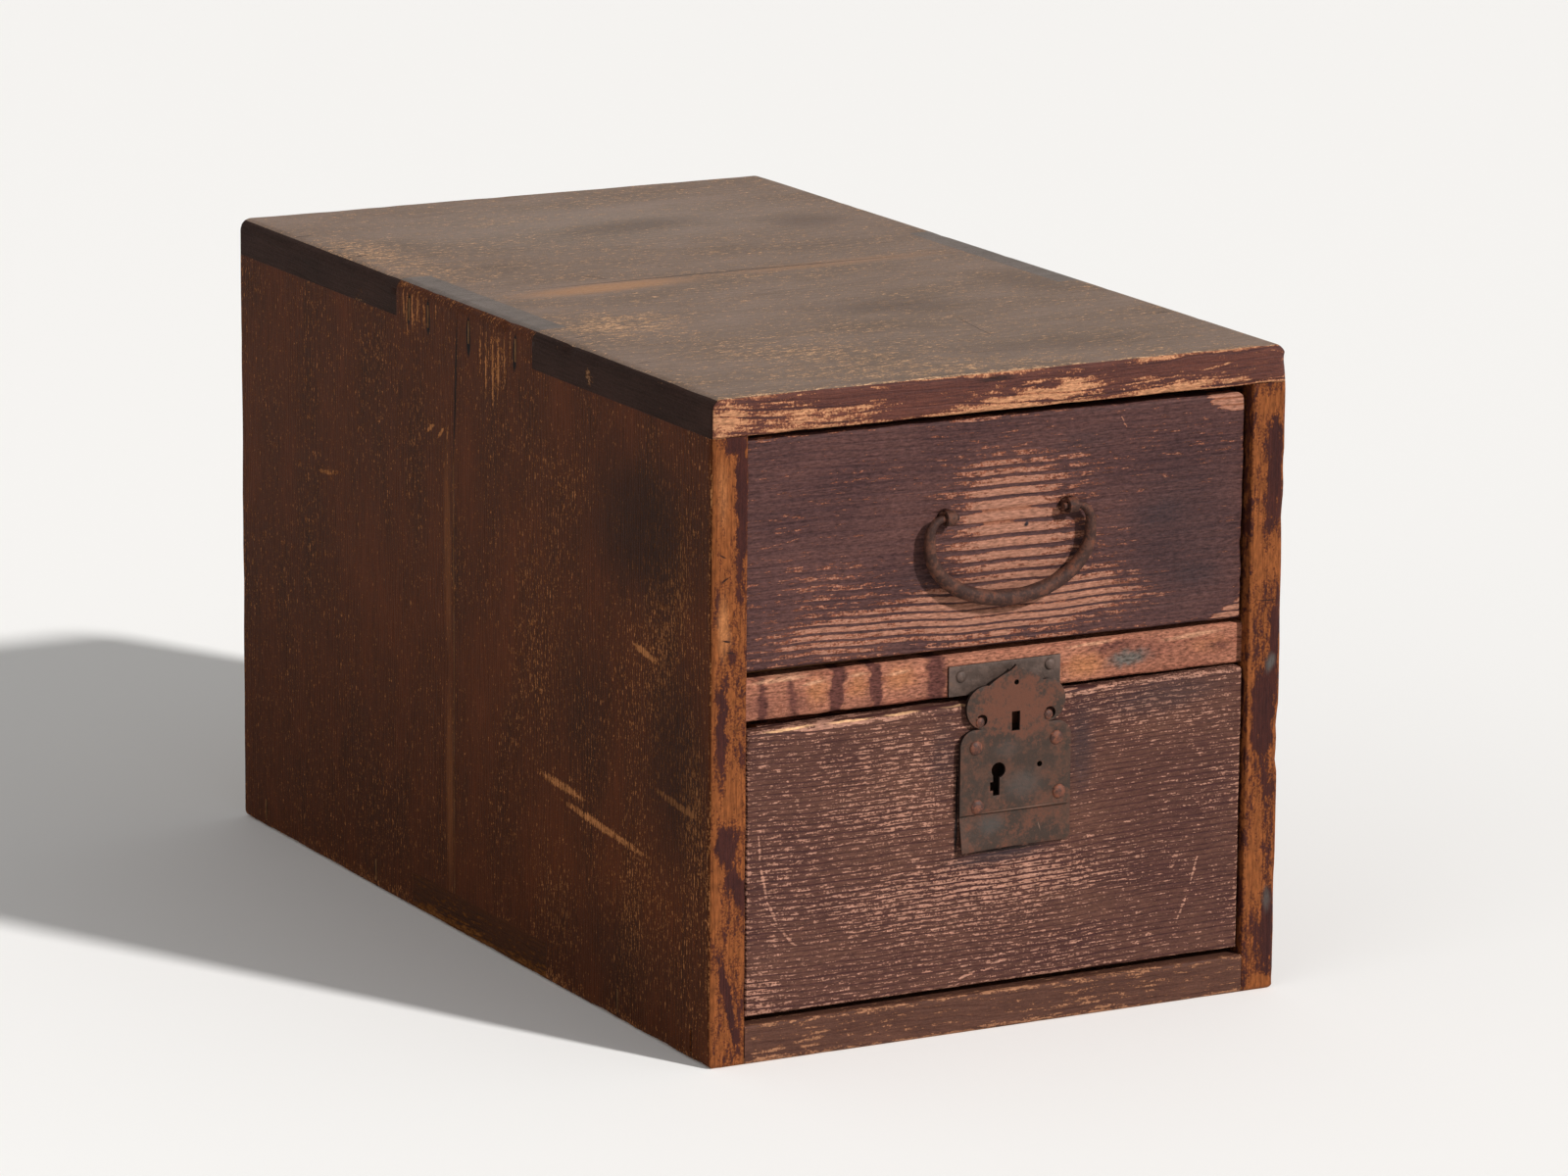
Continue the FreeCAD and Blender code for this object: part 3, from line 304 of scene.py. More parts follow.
def aged_wood(name, lies, grain, thin, thick, rubbed, early, late, wear=0.1, arris=0.5, arris_reach=4.0,
              box=CASE_BOX, plane="xz", patches=(), ragged=(14.0, 17.0), scratches=(), tints=(),
              tint_ragged=(5.0, 9.0), dash=(8.0, 0.9), spread=1.5, speck=0.6, lines=0.35, line_tone=0.25,
              line_hold=0.25, line_from=0.62, bare_from=0.34, clouds=(60.0, 25.0),
              cloud_share=0.5, film_roughness=0.5, bare_roughness=0.75, sheen=0.3, relief=0.2,
              grit=(3.0, 0.9), film_grit=0.35, bare_grit=0.9):
    """Old softwood under a worn film of lacquer or stain.

    thin and thick are the film's two colours, rubbed is wood whose film has nearly gone, and early and
    late are the bare wood's. lies and grain say how the board lies and which rings it shows.

    Wear: wear is its share in the open, and arris what the box's arrises add within arris_reach.
    patches and scratches, drawn on the plane, add their own, and ragged is the (reach, size) of the
    shake in the patches' sides. spread is how far dashes of this length and width break the wear up,
    speck how far specks do, clouds and cloud_share how it comes and goes along the board, and bare_from
    how much more wear it takes from a thin film to bare wood.

    Rings: lines is how well the hard lines keep their film, line_tone how dark they show through it,
    line_from where in a ring they begin and line_hold how much of them is left where they fade.

    tints are (colour, soft places, thin marks) laid over everything, such as grime, a painted shadow or
    a painted highlight, shaken by tint_ragged. grit is the length and width of the fibres that catch the
    light, film_grit and bare_grit how much they do, and relief their height in millimetres.
    """
    material, add = new_material(name)
    place = add("VectorMath", {0: add("TexCoord").node.outputs["Object"], 1: (1 / MM, 1 / MM, 1 / MM)},
                operation="MULTIPLY")
    parts = add("SeparateXYZ", {"Vector": place}).node.outputs
    along, across, depth = [parts["XYZ"[axis]] for axis in LIES[lies]]
    laid = add("CombineXYZ", {"X": along, "Y": across, "Z": depth})

    rings = ring_nodes(add, GRAINS[grain], along, across, depth)
    rise = add("MapRange", {"Value": rings, "From Min": line_from, "From Max": line_from + 0.24},
               interpolation_type="SMOOTHSTEP")
    fall = add("MapRange", {"Value": rings, "From Min": 0.9, "From Max": 1.0, "To Min": 1.0, "To Max": 0.0})
    line = add("Math", {0: rise, 1: fall}, operation="MULTIPLY")
    faint = add("MapRange", {"Value": streaks(add, laid, 45.0, 5.0, 2.0), "From Min": 0.38, "From Max": 0.6,
                             "To Min": line_hold, "To Max": 1.0})
    line = add("Math", {0: line, 1: faint}, operation="MULTIPLY")

    # Patterns, with their sizes in millimetres and the specks' as how many to a millimetre. Real fibres
    # are too fine to show, so they are drawn some ten times as wide.
    fibre = streaks(add, laid, 22.0, 0.55, 4.0, 0.65)
    dashes = streaks(add, laid, dash[0], dash[1], 3.0, 0.55)
    grains = streaks(add, laid, grit[0], grit[1], 3.0, 0.6)
    specks = add("TexNoise", {"Vector": place, "Scale": 0.95, "Detail": 4.0, "Roughness": 0.65})
    cloud = streaks(add, laid, clouds[0], clouds[1], 4.0, 0.55)

    # Wear: soft places, arrises and scratches, broken into dashes and specks, and held off the lines.
    amount = add("Math", {0: cloud, 1: cloud_share, 2: wear - cloud_share / 2}, operation="MULTIPLY_ADD")
    amount = add_patches(add, shaken(add, place, *ragged), plane, patches, amount)
    amount = add_scratches(add, shaken(add, place, 1.6, 2.5), plane, scratches, amount)
    centre = [(low + high) / 2 for low, high in box]
    half = [(high - low) / 2 for low, high in box]
    away = add("VectorMath", {0: add("VectorMath", {0: place, 1: centre}, operation="SUBTRACT")},
               operation="ABSOLUTE")
    inside = add("SeparateXYZ", {"Vector": add("VectorMath", {0: half, 1: away}, operation="SUBTRACT")})
    inside = inside.node.outputs
    near = add("Math", {0: inside["X"], 1: inside["Y"]}, operation="MINIMUM")
    far = add("Math", {0: inside["X"], 1: inside["Y"]}, operation="MAXIMUM")
    to_arris = add("Math", {0: near, 1: add("Math", {0: far, 1: inside["Z"]}, operation="MINIMUM")},
                   operation="MAXIMUM")
    to_arris = add("Math", {0: cloud, 1: -2.5 * arris_reach, 2: to_arris}, operation="MULTIPLY_ADD")
    edge = add("MapRange", {"Value": to_arris, "From Min": -1.25 * arris_reach, "From Max": 0.0,
                            "To Min": arris, "To Max": 0.0})
    amount = add("Math", {0: amount, 1: edge}, operation="ADD")
    amount = add("Math", {0: dashes, 1: spread, 2: amount}, operation="MULTIPLY_ADD")
    amount = add("Math", {0: specks, 1: speck, 2: amount}, operation="MULTIPLY_ADD")
    amount = add("Math", {0: line, 1: -lines, 2: amount}, operation="MULTIPLY_ADD")
    middle = 0.5 + 0.5 * spread + 0.5 * speck
    thinned = add("MapRange", {"Value": amount, "From Min": middle - 0.11, "From Max": middle},
                  interpolation_type="SMOOTHSTEP")
    amount = add("Math", {0: specks, 1: 0.6, 2: amount}, operation="MULTIPLY_ADD")
    bare = add("MapRange", {"Value": amount, "From Min": middle + bare_from,
                            "From Max": middle + bare_from + 0.12}, interpolation_type="SMOOTHSTEP")

    # The film, the rubbed wood and the bare wood.
    tone = add("Math", {0: fibre, 1: 1.6, 2: -0.55}, operation="MULTIPLY_ADD")
    tone = add("Math", {0: line, 1: 0.6, 2: tone}, operation="MULTIPLY_ADD", use_clamp=True)
    wood = add("MixRGB", {"Fac": tone, "Color1": linear(early), "Color2": linear(late)})
    worn = add("MixRGB", {"Fac": add("Math", {0: tone, 1: 0.55}, operation="MULTIPLY"),
                          "Color1": linear(rubbed), "Color2": linear(thin)})
    body = add("Math", {0: cloud, 1: 1.5, 2: -1.75}, operation="MULTIPLY_ADD")
    body = add("Math", {0: fibre, 1: 1.8, 2: body}, operation="MULTIPLY_ADD")
    body = add("Math", {0: specks, 1: 1.2, 2: body}, operation="MULTIPLY_ADD")
    body = add("Math", {0: line, 1: line_tone, 2: body}, operation="MULTIPLY_ADD", use_clamp=True)
    film = add("MixRGB", {"Fac": body, "Color1": linear(thin), "Color2": linear(thick)})
    colour = add("MixRGB", {"Fac": thinned, "Color1": film, "Color2": worn})
    colour = add("MixRGB", {"Fac": bare, "Color1": colour, "Color2": wood})
    if tints:
        ragged_place, ragged_mark = shaken(add, place, *tint_ragged), shaken(add, place, 1.0, 4.0)
        broken = add("Math", {0: specks, 1: 0.6}, operation="ADD")
    for tint, places, marks in tints:
        share = add_patches(add, ragged_place, plane, places, 0.0)
        share = add_scratches(add, ragged_mark, plane, marks, share)
        share = add("Math", {0: broken, 1: share}, operation="MULTIPLY", use_clamp=True)
        colour = add("MixRGB", {"Fac": share, "Color1": colour, "Color2": linear(tint)})
    swing = add("MapRange", {"Value": bare, "To Min": 2.4 * film_grit, "To Max": 2.4 * bare_grit})
    shade = add("Math", {0: add("Math", {0: grains, 1: 0.5}, operation="SUBTRACT"), 1: swing, 2: 1.0},
                operation="MULTIPLY_ADD")
    colour = add("VectorMath", {0: colour, "Scale": shade}, operation="SCALE")

    roughness = add("MapRange", {"Value": thinned, "To Min": film_roughness, "To Max": bare_roughness})
    roughness = add("Math", {0: fibre, 1: 0.15, 2: add("Math", {0: roughness, 1: -0.07}, operation="ADD")},
                    operation="MULTIPLY_ADD")
    height = add("Math", {0: specks, 1: 0.7, 2: fibre}, operation="MULTIPLY_ADD")
    height = add("Math", {0: grains, 1: 0.8, 2: height}, operation="MULTIPLY_ADD")
    height = add("Math", {0: thinned, 1: -0.35, 2: height}, operation="MULTIPLY_ADD")
    height = add("Math", {0: line, 1: -0.4, 2: height}, operation="MULTIPLY_ADD")
    finish_surface(add, colour, roughness, height, relief, sheen=sheen)
    return material


def old_iron(name, dark, brown, rust, scale, rusty, patches=(), tints=(), roughness=0.62, metallic=0.3,
             relief=0.2, contrast=2.6, sheen=0.4):
    """Forged or rolled iron under even brown rust, with a redder bloom where it has been damp.

    scale is the size of the patina's clouds in millimetres, contrast how sharply dark and brown part,
    and rusty how far the bloom has come; patches add to it, and tints lie over everything.
    """
    material, add = new_material(name)
    place = add("VectorMath", {0: add("TexCoord").node.outputs["Object"], 1: (1 / MM, 1 / MM, 1 / MM)},
                operation="MULTIPLY")
    # Clouds of patina, mottling about 3 mm across and dry rust about 1 mm; the pits are drawn coarser
    # than real ones, which wouldn't show.
    broad = add("TexNoise", {"Vector": place, "Scale": 1 / scale, "Detail": 6.0, "Roughness": 0.65})
    mottle = add("TexNoise", {"Vector": place, "Scale": 0.3, "Detail": 4.0, "Roughness": 0.6})
    fine = add("TexNoise", {"Vector": place, "Scale": 0.9, "Detail": 5.0, "Roughness": 0.7})
    pits = add("TexVoronoi", {"Vector": place, "Scale": 0.55, "Randomness": 1.0})
    patina = add("MapRange", {"Value": broad, "From Min": 0.4, "From Max": 0.6},
                 interpolation_type="SMOOTHSTEP")
    patina = add("Math", {0: mottle, 1: contrast, 2: add("Math", {0: patina, 1: -1.0 - contrast / 2},
                                                         operation="ADD")}, operation="MULTIPLY_ADD")
    patina = add("Math", {0: fine, 1: 2.0, 2: patina}, operation="MULTIPLY_ADD", use_clamp=True)
    colour = add("MixRGB", {"Fac": patina, "Color1": linear(dark), "Color2": linear(brown)})
    bloom = add("Math", {0: fine, 1: 0.5, 2: add("Math", {0: broad, 1: 0.35}, operation="MULTIPLY")},
                operation="MULTIPLY_ADD")
    bloom = add("Math", {0: mottle, 1: 0.5, 2: add("Math", {0: bloom, 1: -0.13}, operation="ADD")},
                operation="MULTIPLY_ADD")
    bloom = add_patches(add, shaken(add, place, 6.0, 8.0), "xz", patches, bloom)
    bloom = add("MapRange", {"Value": bloom, "From Min": 0.6 - rusty, "From Max": 0.74 - rusty})
    colour = add("MixRGB", {"Fac": bloom, "Color1": colour, "Color2": linear(rust)})
    for tint, places, marks in tints:
        share = add_patches(add, shaken(add, place, 4.0, 6.0), "xz", places, 0.0)
        share = add_scratches(add, place, "xz", marks, share)
        share = add("Math", {0: share, 1: add("Math", {0: mottle, 1: 0.5}, operation="ADD")},
                    operation="MULTIPLY", use_clamp=True)
        colour = add("MixRGB", {"Fac": share, "Color1": colour, "Color2": linear(tint)})
    rough = add("MapRange", {"Value": bloom, "To Min": roughness - 0.08, "To Max": roughness + 0.2})
    height = add("Math", {0: fine, 1: 1.0, 2: add("Math", {0: pits, 1: 0.25}, operation="MULTIPLY")},
                 operation="MULTIPLY_ADD")
    finish_surface(add, colour, rough, height, relief, metallic, sheen)
    return material


# Lacquer wiped thin on flat-sawn cedar, and rubbed through where the hand takes the bail: a dull plum
# film over the grain, then pink wood in bars between dark hard lines.
LACQUERED_UPPER = aged_wood(
    "worn_lacquer_upper_front", "front", "upper_front", "#583b36", "#3b2727", "#78442f", "#9b6e5b",
    "#764631", wear=0.15, arris=0.25, arris_reach=2, box=UPPER_FRONT_BOX, lines=1.3, line_hold=0.75,
    line_from=0.56, spread=1.7, speck=0.9, dash=(6, 0.8), sheen=0.07, ragged=(9, 15), film_grit=0.8,
    patches=((9, 208, 66, 46, 0, 0.45), (6, 214, 34, 30, 0, 0.45), (4, 218.5, 26, 8, 2, 1.1),
             (6, 238, 60, 17, 3, 0.25), (0, 178, 112, 20, 1.5, 0.56), (10, 181, 84, 15, 0, 0.5),
             (-84, 174, 46, 14, 0, 0.5), (-84, 196, 44, 26, 0, 0.24), (114, 166.5, 13, 5, 25, 1.2),
             (84, 206, 36, 46, 0, -0.08)),
    scratches=((103, 258, 120, 255, 4.6, 3.2), (57.5, 256, 61, 249, 0.45, 0.9),
               (-116, 214, -88, 219, 0.3, 0.35)),
    tints=(("#2c2427", ((88, 200, 44, 50, 0, 0.36), (76, 212, 20, 9, 8, 0.3), (96, 184, 18, 8, -6, 0.3),
                        (40, 246, 24, 7, 3, 0.3), (13.5, 213.7, 1.3, 1.3, 0, 1.2),
                        (-36, 196, 16, 10, 0, 0.3)), ()),))
# The same lacquer on closer grain, worn evenly by use: rows of short light dashes at the rings' spacing.
LACQUERED_LOWER = aged_wood(
    "worn_lacquer_lower_front", "front", "lower_front", "#5d3e32", "#3d2422", "#6e4433", "#a37967",
    "#7a4d3b", wear=0.27, arris=0.3, arris_reach=2, box=LOWER_FRONT_BOX, dash=(6, 0.8), lines=1.1,
    line_hold=0.6, bare_from=0.2, spread=1.8, speck=1, line_tone=0.6, sheen=0.07, ragged=(9, 13),
    film_grit=0.5,
    patches=((-42, 108, 50, 40, 0, 0.16), (-14, 60, 100, 26, 2, 0.17), (-72, 138.5, 54, 2.4, 0.3, 0.6),
             (82, 128, 46, 16, 0, 0.14), (20, 64, 40, 10, -6, 0.12), (72, 98, 48, 34, 0, -0.1),
             (80, 60, 50, 40, 0, -0.06), (100, 40, 50, 60, 0, -0.08), (-112, 30, 14, 20, 0, 0.2)),
    scratches=((-112.5, 97, -111.5, 84, 0.8, 0.7), (-111.5, 84, -108.5, 68, 0.9, 0.8),
               (-108.5, 68, -103, 56, 0.9, 0.8), (-103, 56, -94, 46, 0.9, 0.6), (99, 66, 94, 48, 0.8, 0.7),
               (94, 48, 87, 32, 0.8, 0.5), (-19, 22.5, -9, 25.5, 0.9, 0.8), (-4, 27, 6, 29, 0.9, 0.6)),
    tints=(("#2e272a", ((0, 74, 34, 5, 3, 0.6), (40, 116, 9, 30, 0, 0.5), (80, 134, 44, 10, 3, 0.4),
                        (-26, 120, 10, 24, 0, 0.3)), ()),
           # The near-black lines hugging the lock plate's and apron's edges are painted shadow: the shade
           # under the iron where it stands proud of the wood.
           ("#1d1514", (), ((-19.7, 80, -19.5, 124, 0.9, 0.9), (-20, 76, -19.7, 94, 1.2, 0.9),
                            (-22, 76.2, 34, 76.8, 1, 0.9), (34.2, 80, 34.4, 122, 0.8, 0.7),
                            (-14, 124.5, -8, 126.5, 0.9, 0.7))),
           # The light line along the top arris is worn bare wood, lightened further into a painted
           # highlight where the edge catches the light.
           ("#d8a87c", (), ((-113, 138.7, -84, 139.2, 0.7, 0.9), (-82, 139.2, -58, 139.5, 0.6, 0.9),
                            (-56, 139.5, -36, 139.8, 0.6, 0.7), (-30, 140, 0, 140.4, 0.5, 0.4)))))
# Cedar sawn near the heart, rubbed bare by both drawers: salmon wood with a woolly nap, crossed by a
# few plum patches of ring and grime.
RAIL_WOOD = aged_wood(
    "rubbed_rail", "front", "rail", "#5f3a30", "#4a2a24", "#784937", "#9b6751", "#774435", wear=0.8,
    arris=0.2, arris_reach=1.5,
    box=((-INNER_X, INNER_X), (RAIL_FACE_Y, RAIL_FACE_Y + 40), (RAIL_Z, RAIL_TOP_Z)), lines=0, line_tone=0,
    dash=(4, 1.6), spread=0.8, speck=0.6, clouds=(22, 9), grit=(2.6, 0.9), bare_grit=1.3, relief=0.3,
    sheen=0.08, tint_ragged=(6.5, 3.4), patches=((-90, 146, 34, 5, 0, -0.16),),
    tints=(("#7a4c3c", ((84, 151, 56, 13, 0, 0.6), (-100, 150, 30, 12, 0, 0.35)), ()),
           ("#9d6643", ((-84, 153, 8, 9, 0, 0.6), (-65, 153, 7, 9, 0, 0.6), (-45, 154, 11, 8, 0, 0.6),
                        (43, 150, 15, 8, 0, 0.7), (104, 153, 14, 5, 3, 0.3)), ()),
           ("#6a4238", ((-110, 149, 9, 9, 0, 0.6), (-94, 148, 9, 7, 0, 0.5), (-62, 146, 16, 5, 0, 0.4),
                        (-38, 147, 14, 6, 0, 0.35), (68, 153, 24, 8, 4, 0.6)), ()),
           ("#54322c", ((-109.5, 150, 3.4, 24, 0, 0.9), (-96, 153, 3, 18, 8, 0.8),
                        (-74.5, 152.5, 4.4, 30, -6, 1.8), (-56.5, 152.5, 4, 30, 5, 1.6),
                        (-28, 152, 6.8, 30, 0, 1.3), (56, 157, 18, 3, 4, 0.8), (108, 152, 9, 2.6, 0, 0.7)),
            ()),
           ("#57504a", ((64, 151, 15, 5.5, 4, 0.9),), ()),
           ("#b98a6c", (), ((-118, 159, -84, 160, 1.4, 0.6), (30, 158.4, 60, 159.4, 1, 0.5),
                            (78, 156.5, 112, 158.5, 1.6, 0.5), (-92, 156, -80, 157, 1.2, 0.6),
                            (-70, 157.5, -60, 158, 1, 0.5), (-52, 156, -40, 157, 1.2, 0.5)))))
# The fronts of the uprights, once lacquered and now mostly bare and oiled by hands: orange-brown wood
# with ragged plum islands of film.
POST_LOOK = {"thin": "#401e17", "thick": "#291212", "rubbed": "#5b2f18", "early": "#7f4824",
             "late": "#64351a", "arris": 0.3, "arris_reach": 2.5, "dash": (5, 1.6), "clouds": (20, 5),
             "spread": 0.9, "cloud_share": 1.1, "lines": 0, "line_tone": 0, "speck": 0.8, "relief": 0.28,
             "sheen": 0.11, "ragged": (7, 7), "grit": (4, 1.3), "bare_grit": 0.7}
LEFT_POST_WOOD = aged_wood(
    "rubbed_left_post", "post", "side", wear=0.6,
    patches=((-130, 228, 5, 40, 0, 0.25), (-122.5, 236, 3.8, 44, 0, -0.5), (-124, 117, 6, 16, 0, 0.25),
             (-129.5, 94, 7, 12, 0, -0.6), (-123.5, 76, 4.5, 15, 20, -0.5), (-133.5, 70, 2.6, 30, 0, 0.3),
             (-127.5, 28, 3, 28, 12, -0.55), (-131, 145, 4, 30, 0, -0.35), (-126, 262, 4, 8, 0, -0.4)),
    tints=(("#a66c42", ((-130.5, 186, 4.5, 18, 0, 0.6), (-131, 240, 4, 20, 0, 0.3)), ()),
           ("#2b1712", (), ((-132, 204, -128, 206, 0.6, 1), (-131, 180, -127, 179, 0.6, 1),
                            (-130, 175, -124, 174, 0.5, 0.9), (-133, 216, -129, 214, 0.5, 0.9)))),
    **POST_LOOK)
RIGHT_POST_WOOD = aged_wood(
    "rubbed_right_post", "post", "side", wear=0.5,
    patches=((131, 230, 4.5, 32, 0, -0.6), (128, 255, 9, 8, 0, 0.3), (124, 200, 4, 70, 0, 0.2),
             (129, 186, 9, 16, 0, 0.25), (133, 152, 3.5, 20, 0, -0.5), (128.5, 122, 6.5, 26, 0, -0.6),
             (125, 62, 6, 40, 0, 0.3), (132.5, 26, 5, 24, 0, -0.7), (129, 3, 9, 5, 0, 0.7),
             (121, 140, 1.8, 150, 0, 0.3)),
    tints=(("#4c4743", ((130, 143, 3.5, 6, 0, 0.8), (131, 40, 3, 8, 0, 0.6)), ()),
           ("#2b1712", (), ((122, 170.5, 135, 170, 0.45, 0.9),))), **POST_LOOK)
# The top board's front edge: lacquer flaked off the corners, so torn light fibres show along them.
TOP_FRONT_WOOD = aged_wood(
    "rubbed_top_edge", "front", "top", "#5e352a", "#381f1e", "#7f4d37", "#b3805d", "#8e5a3f", wear=0.34,
    arris=0.35, arris_reach=2, box=TOP_BOX, dash=(9, 1.6), clouds=(38, 6),
    spread=1.1, cloud_share=0.8, speck=0.9, relief=0.34, sheen=0.12, ragged=(8, 8), bare_grit=1.1,
    patches=((-128, 271, 12, 11, 0, 0.5), (-85, 268, 50, 7, 3, 0.36), (5, 267.5, 60, 5, 4, 0.4),
             (30, 270, 26, 5, 4, 0.3), (90, 266, 40, 3, 4, 0.3), (-40, 275, 60, 4, 2, -0.25),
             (70, 275, 50, 3.5, 0, -0.2)),
    scratches=((50, 268.5, 90, 271, 0.7, 0.4), (90, 271, 114, 275, 0.7, 0.4)),
    tints=(("#2e1a17", (), ((-16, 276.5, 6, 277.5, 1.6, 0.9), (10, 264.5, 60, 267, 0.4, 0.8),
                            (-92, 265, -60, 266.5, 0.4, 0.8), (96, 264.5, 130, 266, 0.4, 0.7))),))
# The bottom board's front edge, lacquered with the case and scuffed in small flecks.
BOTTOM_FRONT_WOOD = aged_wood(
    "worn_bottom_edge", "front", "bottom", "#593a2e", "#41271f", "#66412f", "#966a4e", "#744c36", wear=0.24,
    arris=0.4, arris_reach=1.8, box=BOTTOM_BOX, dash=(6, 1.1), clouds=(30, 7),
    spread=1.9, speck=1, relief=0.26, sheen=0.1, ragged=(7, 8),
    patches=((-88, 8, 12, 8, 0, 0.3), (-108, 3, 12, 4, 0, 0.4), (0, 0, 118, 2.5, 0, 0.25),
             (40, 6, 50, 3, 1, 0.15)))
# The top: lacquer gone chalky in light and dust, a warm grey-brown with dark bruises, tan flecks and a
# paler strip where the rear board was planed at the seam.
TOP_WOOD = aged_wood(
    "greyed_lacquer_top", "top", "top", "#846f62", "#615043", "#91735a", "#c89f7c", "#a07d5f", wear=0.2,
    arris=0.35, arris_reach=2.5, plane="xy", dash=(3.6, 1.1), spread=2.2, speck=1.2, clouds=(70, 34),
    film_roughness=0.54, sheen=0.03, lines=0.1, line_tone=0.12, film_grit=0.3, ragged=(12, 14),
    patches=((-95, -75, 40, 46, 0, 0.26), (-120, 110, 22, 90, 0, 0.2), (-24, 171, 46, 16, 0, 0.1),
             (0, -218, 140, 10, 0, 0.14), (-60, -160, 60, 60, 0, 0.14), (-30, -206, 100, 20, 0, 0.12)),
    scratches=((-31.5, -48, -10, -47, 1.2, 0.4),),
    tints=(("#9a8e84", ((0, 150, 140, 90, 0, 0.16),), ()),
           ("#9f7656", ((-60, 6, 66, 16, 4, 0.34),),
            ((-112, 2, -20, 9, 12, 0.42), (-20, 10, 124, 18, 9, 0.34))),
           ("#473a33", ((17, 136, 60, 22, 10, 0.36), (93, 114, 30, 24, 0, 0.36),
                        (29, -85, 50, 24, -12, 0.35), (40, -190, 70, 20, 0, 0.22), (-126, 141, 2, 2, 0, 1),
                        (110, -60, 24, 40, 0, 0.25)),
            ((-130, 16, 130, 16, 1.1, 1), (31, -172, 40.5, -110, 0.5, 0.8), (-128, 60, -118, 61, 0.9, 1.2),
             (-128, -90, -120, -89, 0.9, 1), (-129, -150, -122, -150.5, 0.8, 1),
             (-133, 120, -122, 121, 1.2, 1.3), (-133, 176, -124, 175.5, 1.1, 1.2),
             (-62, 34, -55, 30, 0.8, 1.3), (-57, 28, -54, 22, 0.7, 1.2), (-22, 40, -14, 42, 0.6, 0.8),
             (-10, -30, 6, -28, 0.5, 0.7), (118, 60, 127, 61, 0.9, 1), (119, -60, 127, -60.5, 0.9, 1),
             (119, -150, 128, -149, 0.9, 1), (-80, 196, -30, 202, 0.7, 0.6), (50, 60, 92, 52, 0.8, 0.5)))))
# The ends of the side boards' fingers, flush with the top and greyed with it.
GREY_END_WOOD = aged_wood(
    "greyed_end_grain", "top", "side", "#71655d", "#574e48", "#7b695e", "#a4856e", "#7e6853", wear=0.14,
    arris=0.25, arris_reach=2, plane="xy", dash=(3, 1.4), spread=1.3, clouds=(26, 12), film_roughness=0.48,
    sheen=0.03)
# The sides: cedar stained with smoke and persimmon, nearly black at the top front, with orange flecks
# where knocks went through, and a paler strip along the planed seam.
SIDE_LOOK = {"thin": "#592c15", "thick": "#311a0e", "rubbed": "#653a1e", "early": "#ab7247",
             "late": "#7c4d2c", "wear": 0.19, "arris": 0.3, "arris_reach": 3, "plane": "yz",
             "dash": (4, 0.9), "spread": 2.1, "speck": 1.2, "clouds": (90, 34), "sheen": 0.025,
             "lines": 0.2, "film_grit": 0.55, "grit": (16, 0.8), "ragged": (12, 14)}
# The paler strip, and the dark lines of the seam and the joint nails, the same on both sides.
SIDE_STRIP = ("#7c4a28", (), ((15, 226, 12.5, 110, 5, 0.36), (12.5, 120, 12, 4, 5, 0.42)))
SIDE_LINES = ("#120c0a", (), ((8, 0, 8, 206, 0.5, 0.6), (8, 206, 4, 279, 1, 1.6),
                              (-51.8, 275, -51, 260, 2.2, 2.4), (-6.6, 275, -6.9, 258, 2.4, 2.4),
                              (33, 275, 32.6, 261, 2.2, 2.4), (51.6, 275, 52.4, 262, 2.1, 2.4),
                              (-214, 2, -214.5, 15, 1.5, 1.4), (-148, 2, -147.5, 14, 1.5, 1.4),
                              (88, 2, 88.5, 15, 1.5, 1.4), (206, 2, 205.5, 14, 1.5, 1.4)))
LEFT_SIDE_WOOD = aged_wood(
    "stained_cedar_left_side", "side", "side",
    patches=((-186, 160, 60, 120, 0, 0.14), (-110, 222, 80, 18, 6, 0.12), (-207, 205, 12, 44, 0, 0.2),
             (-90, 40, 44, 40, 0, 0.14), (-34, 262, 15, 22, 0, 0.16), (46, 270, 16, 14, 0, 0.16),
             (-70, 150, 60, 80, 0, 0.1), (-215, 100, 18, 60, 0, 0.2), (-170, 50, 60, 50, 0, 0.16)),
    scratches=((-158, 165.5, -184, 161, 2.2, 0.55), (-69.5, 90.5, -122, 88, 3, 0.6),
               (-83.5, 84, -183, 76, 2.6, 0.6), (-174, 108, -224, 103, 2.4, 0.5),
               (35, 217.5, 27, 222, 1.4, 0.7), (24, 216.5, 17, 222.5, 1.4, 0.7), (15, 216, 13, 225, 1, 0.5),
               (120, 183, 150, 178, 2, 0.4), (58, 279, 57, 262, 1.1, 0.5), (53.5, 279, 54, 254, 1, 0.5),
               (49, 279, 48, 258, 1.2, 0.5), (43, 279, 43.5, 264, 1, 0.5), (37, 279, 36.5, 260, 1.1, 0.5),
               (25, 279, 25.5, 266, 1, 0.4), (-18, 276, -18.5, 246, 1.1, 0.4),
               (-24, 276, -23.5, 238, 1.2, 0.5), (-30, 277, -30.5, 232, 1.1, 0.5),
               (-36, 277, -35, 240, 1.2, 0.5), (-41, 277, -42, 250, 1, 0.5), (-47, 278, -46.5, 256, 1, 0.4),
               (-230, 4, 228, 4, 4, 0.16)),
    tints=(("#241610", ((-170, 215, 80, 50, 0, 0.66), (-200, 120, 44, 70, 0, 0.58),
                        (-150, 30, 90, 34, 0, 0.35), (-110, 130, 40, 44, 0, 0.25)), ()),
           SIDE_STRIP, SIDE_LINES), **SIDE_LOOK)
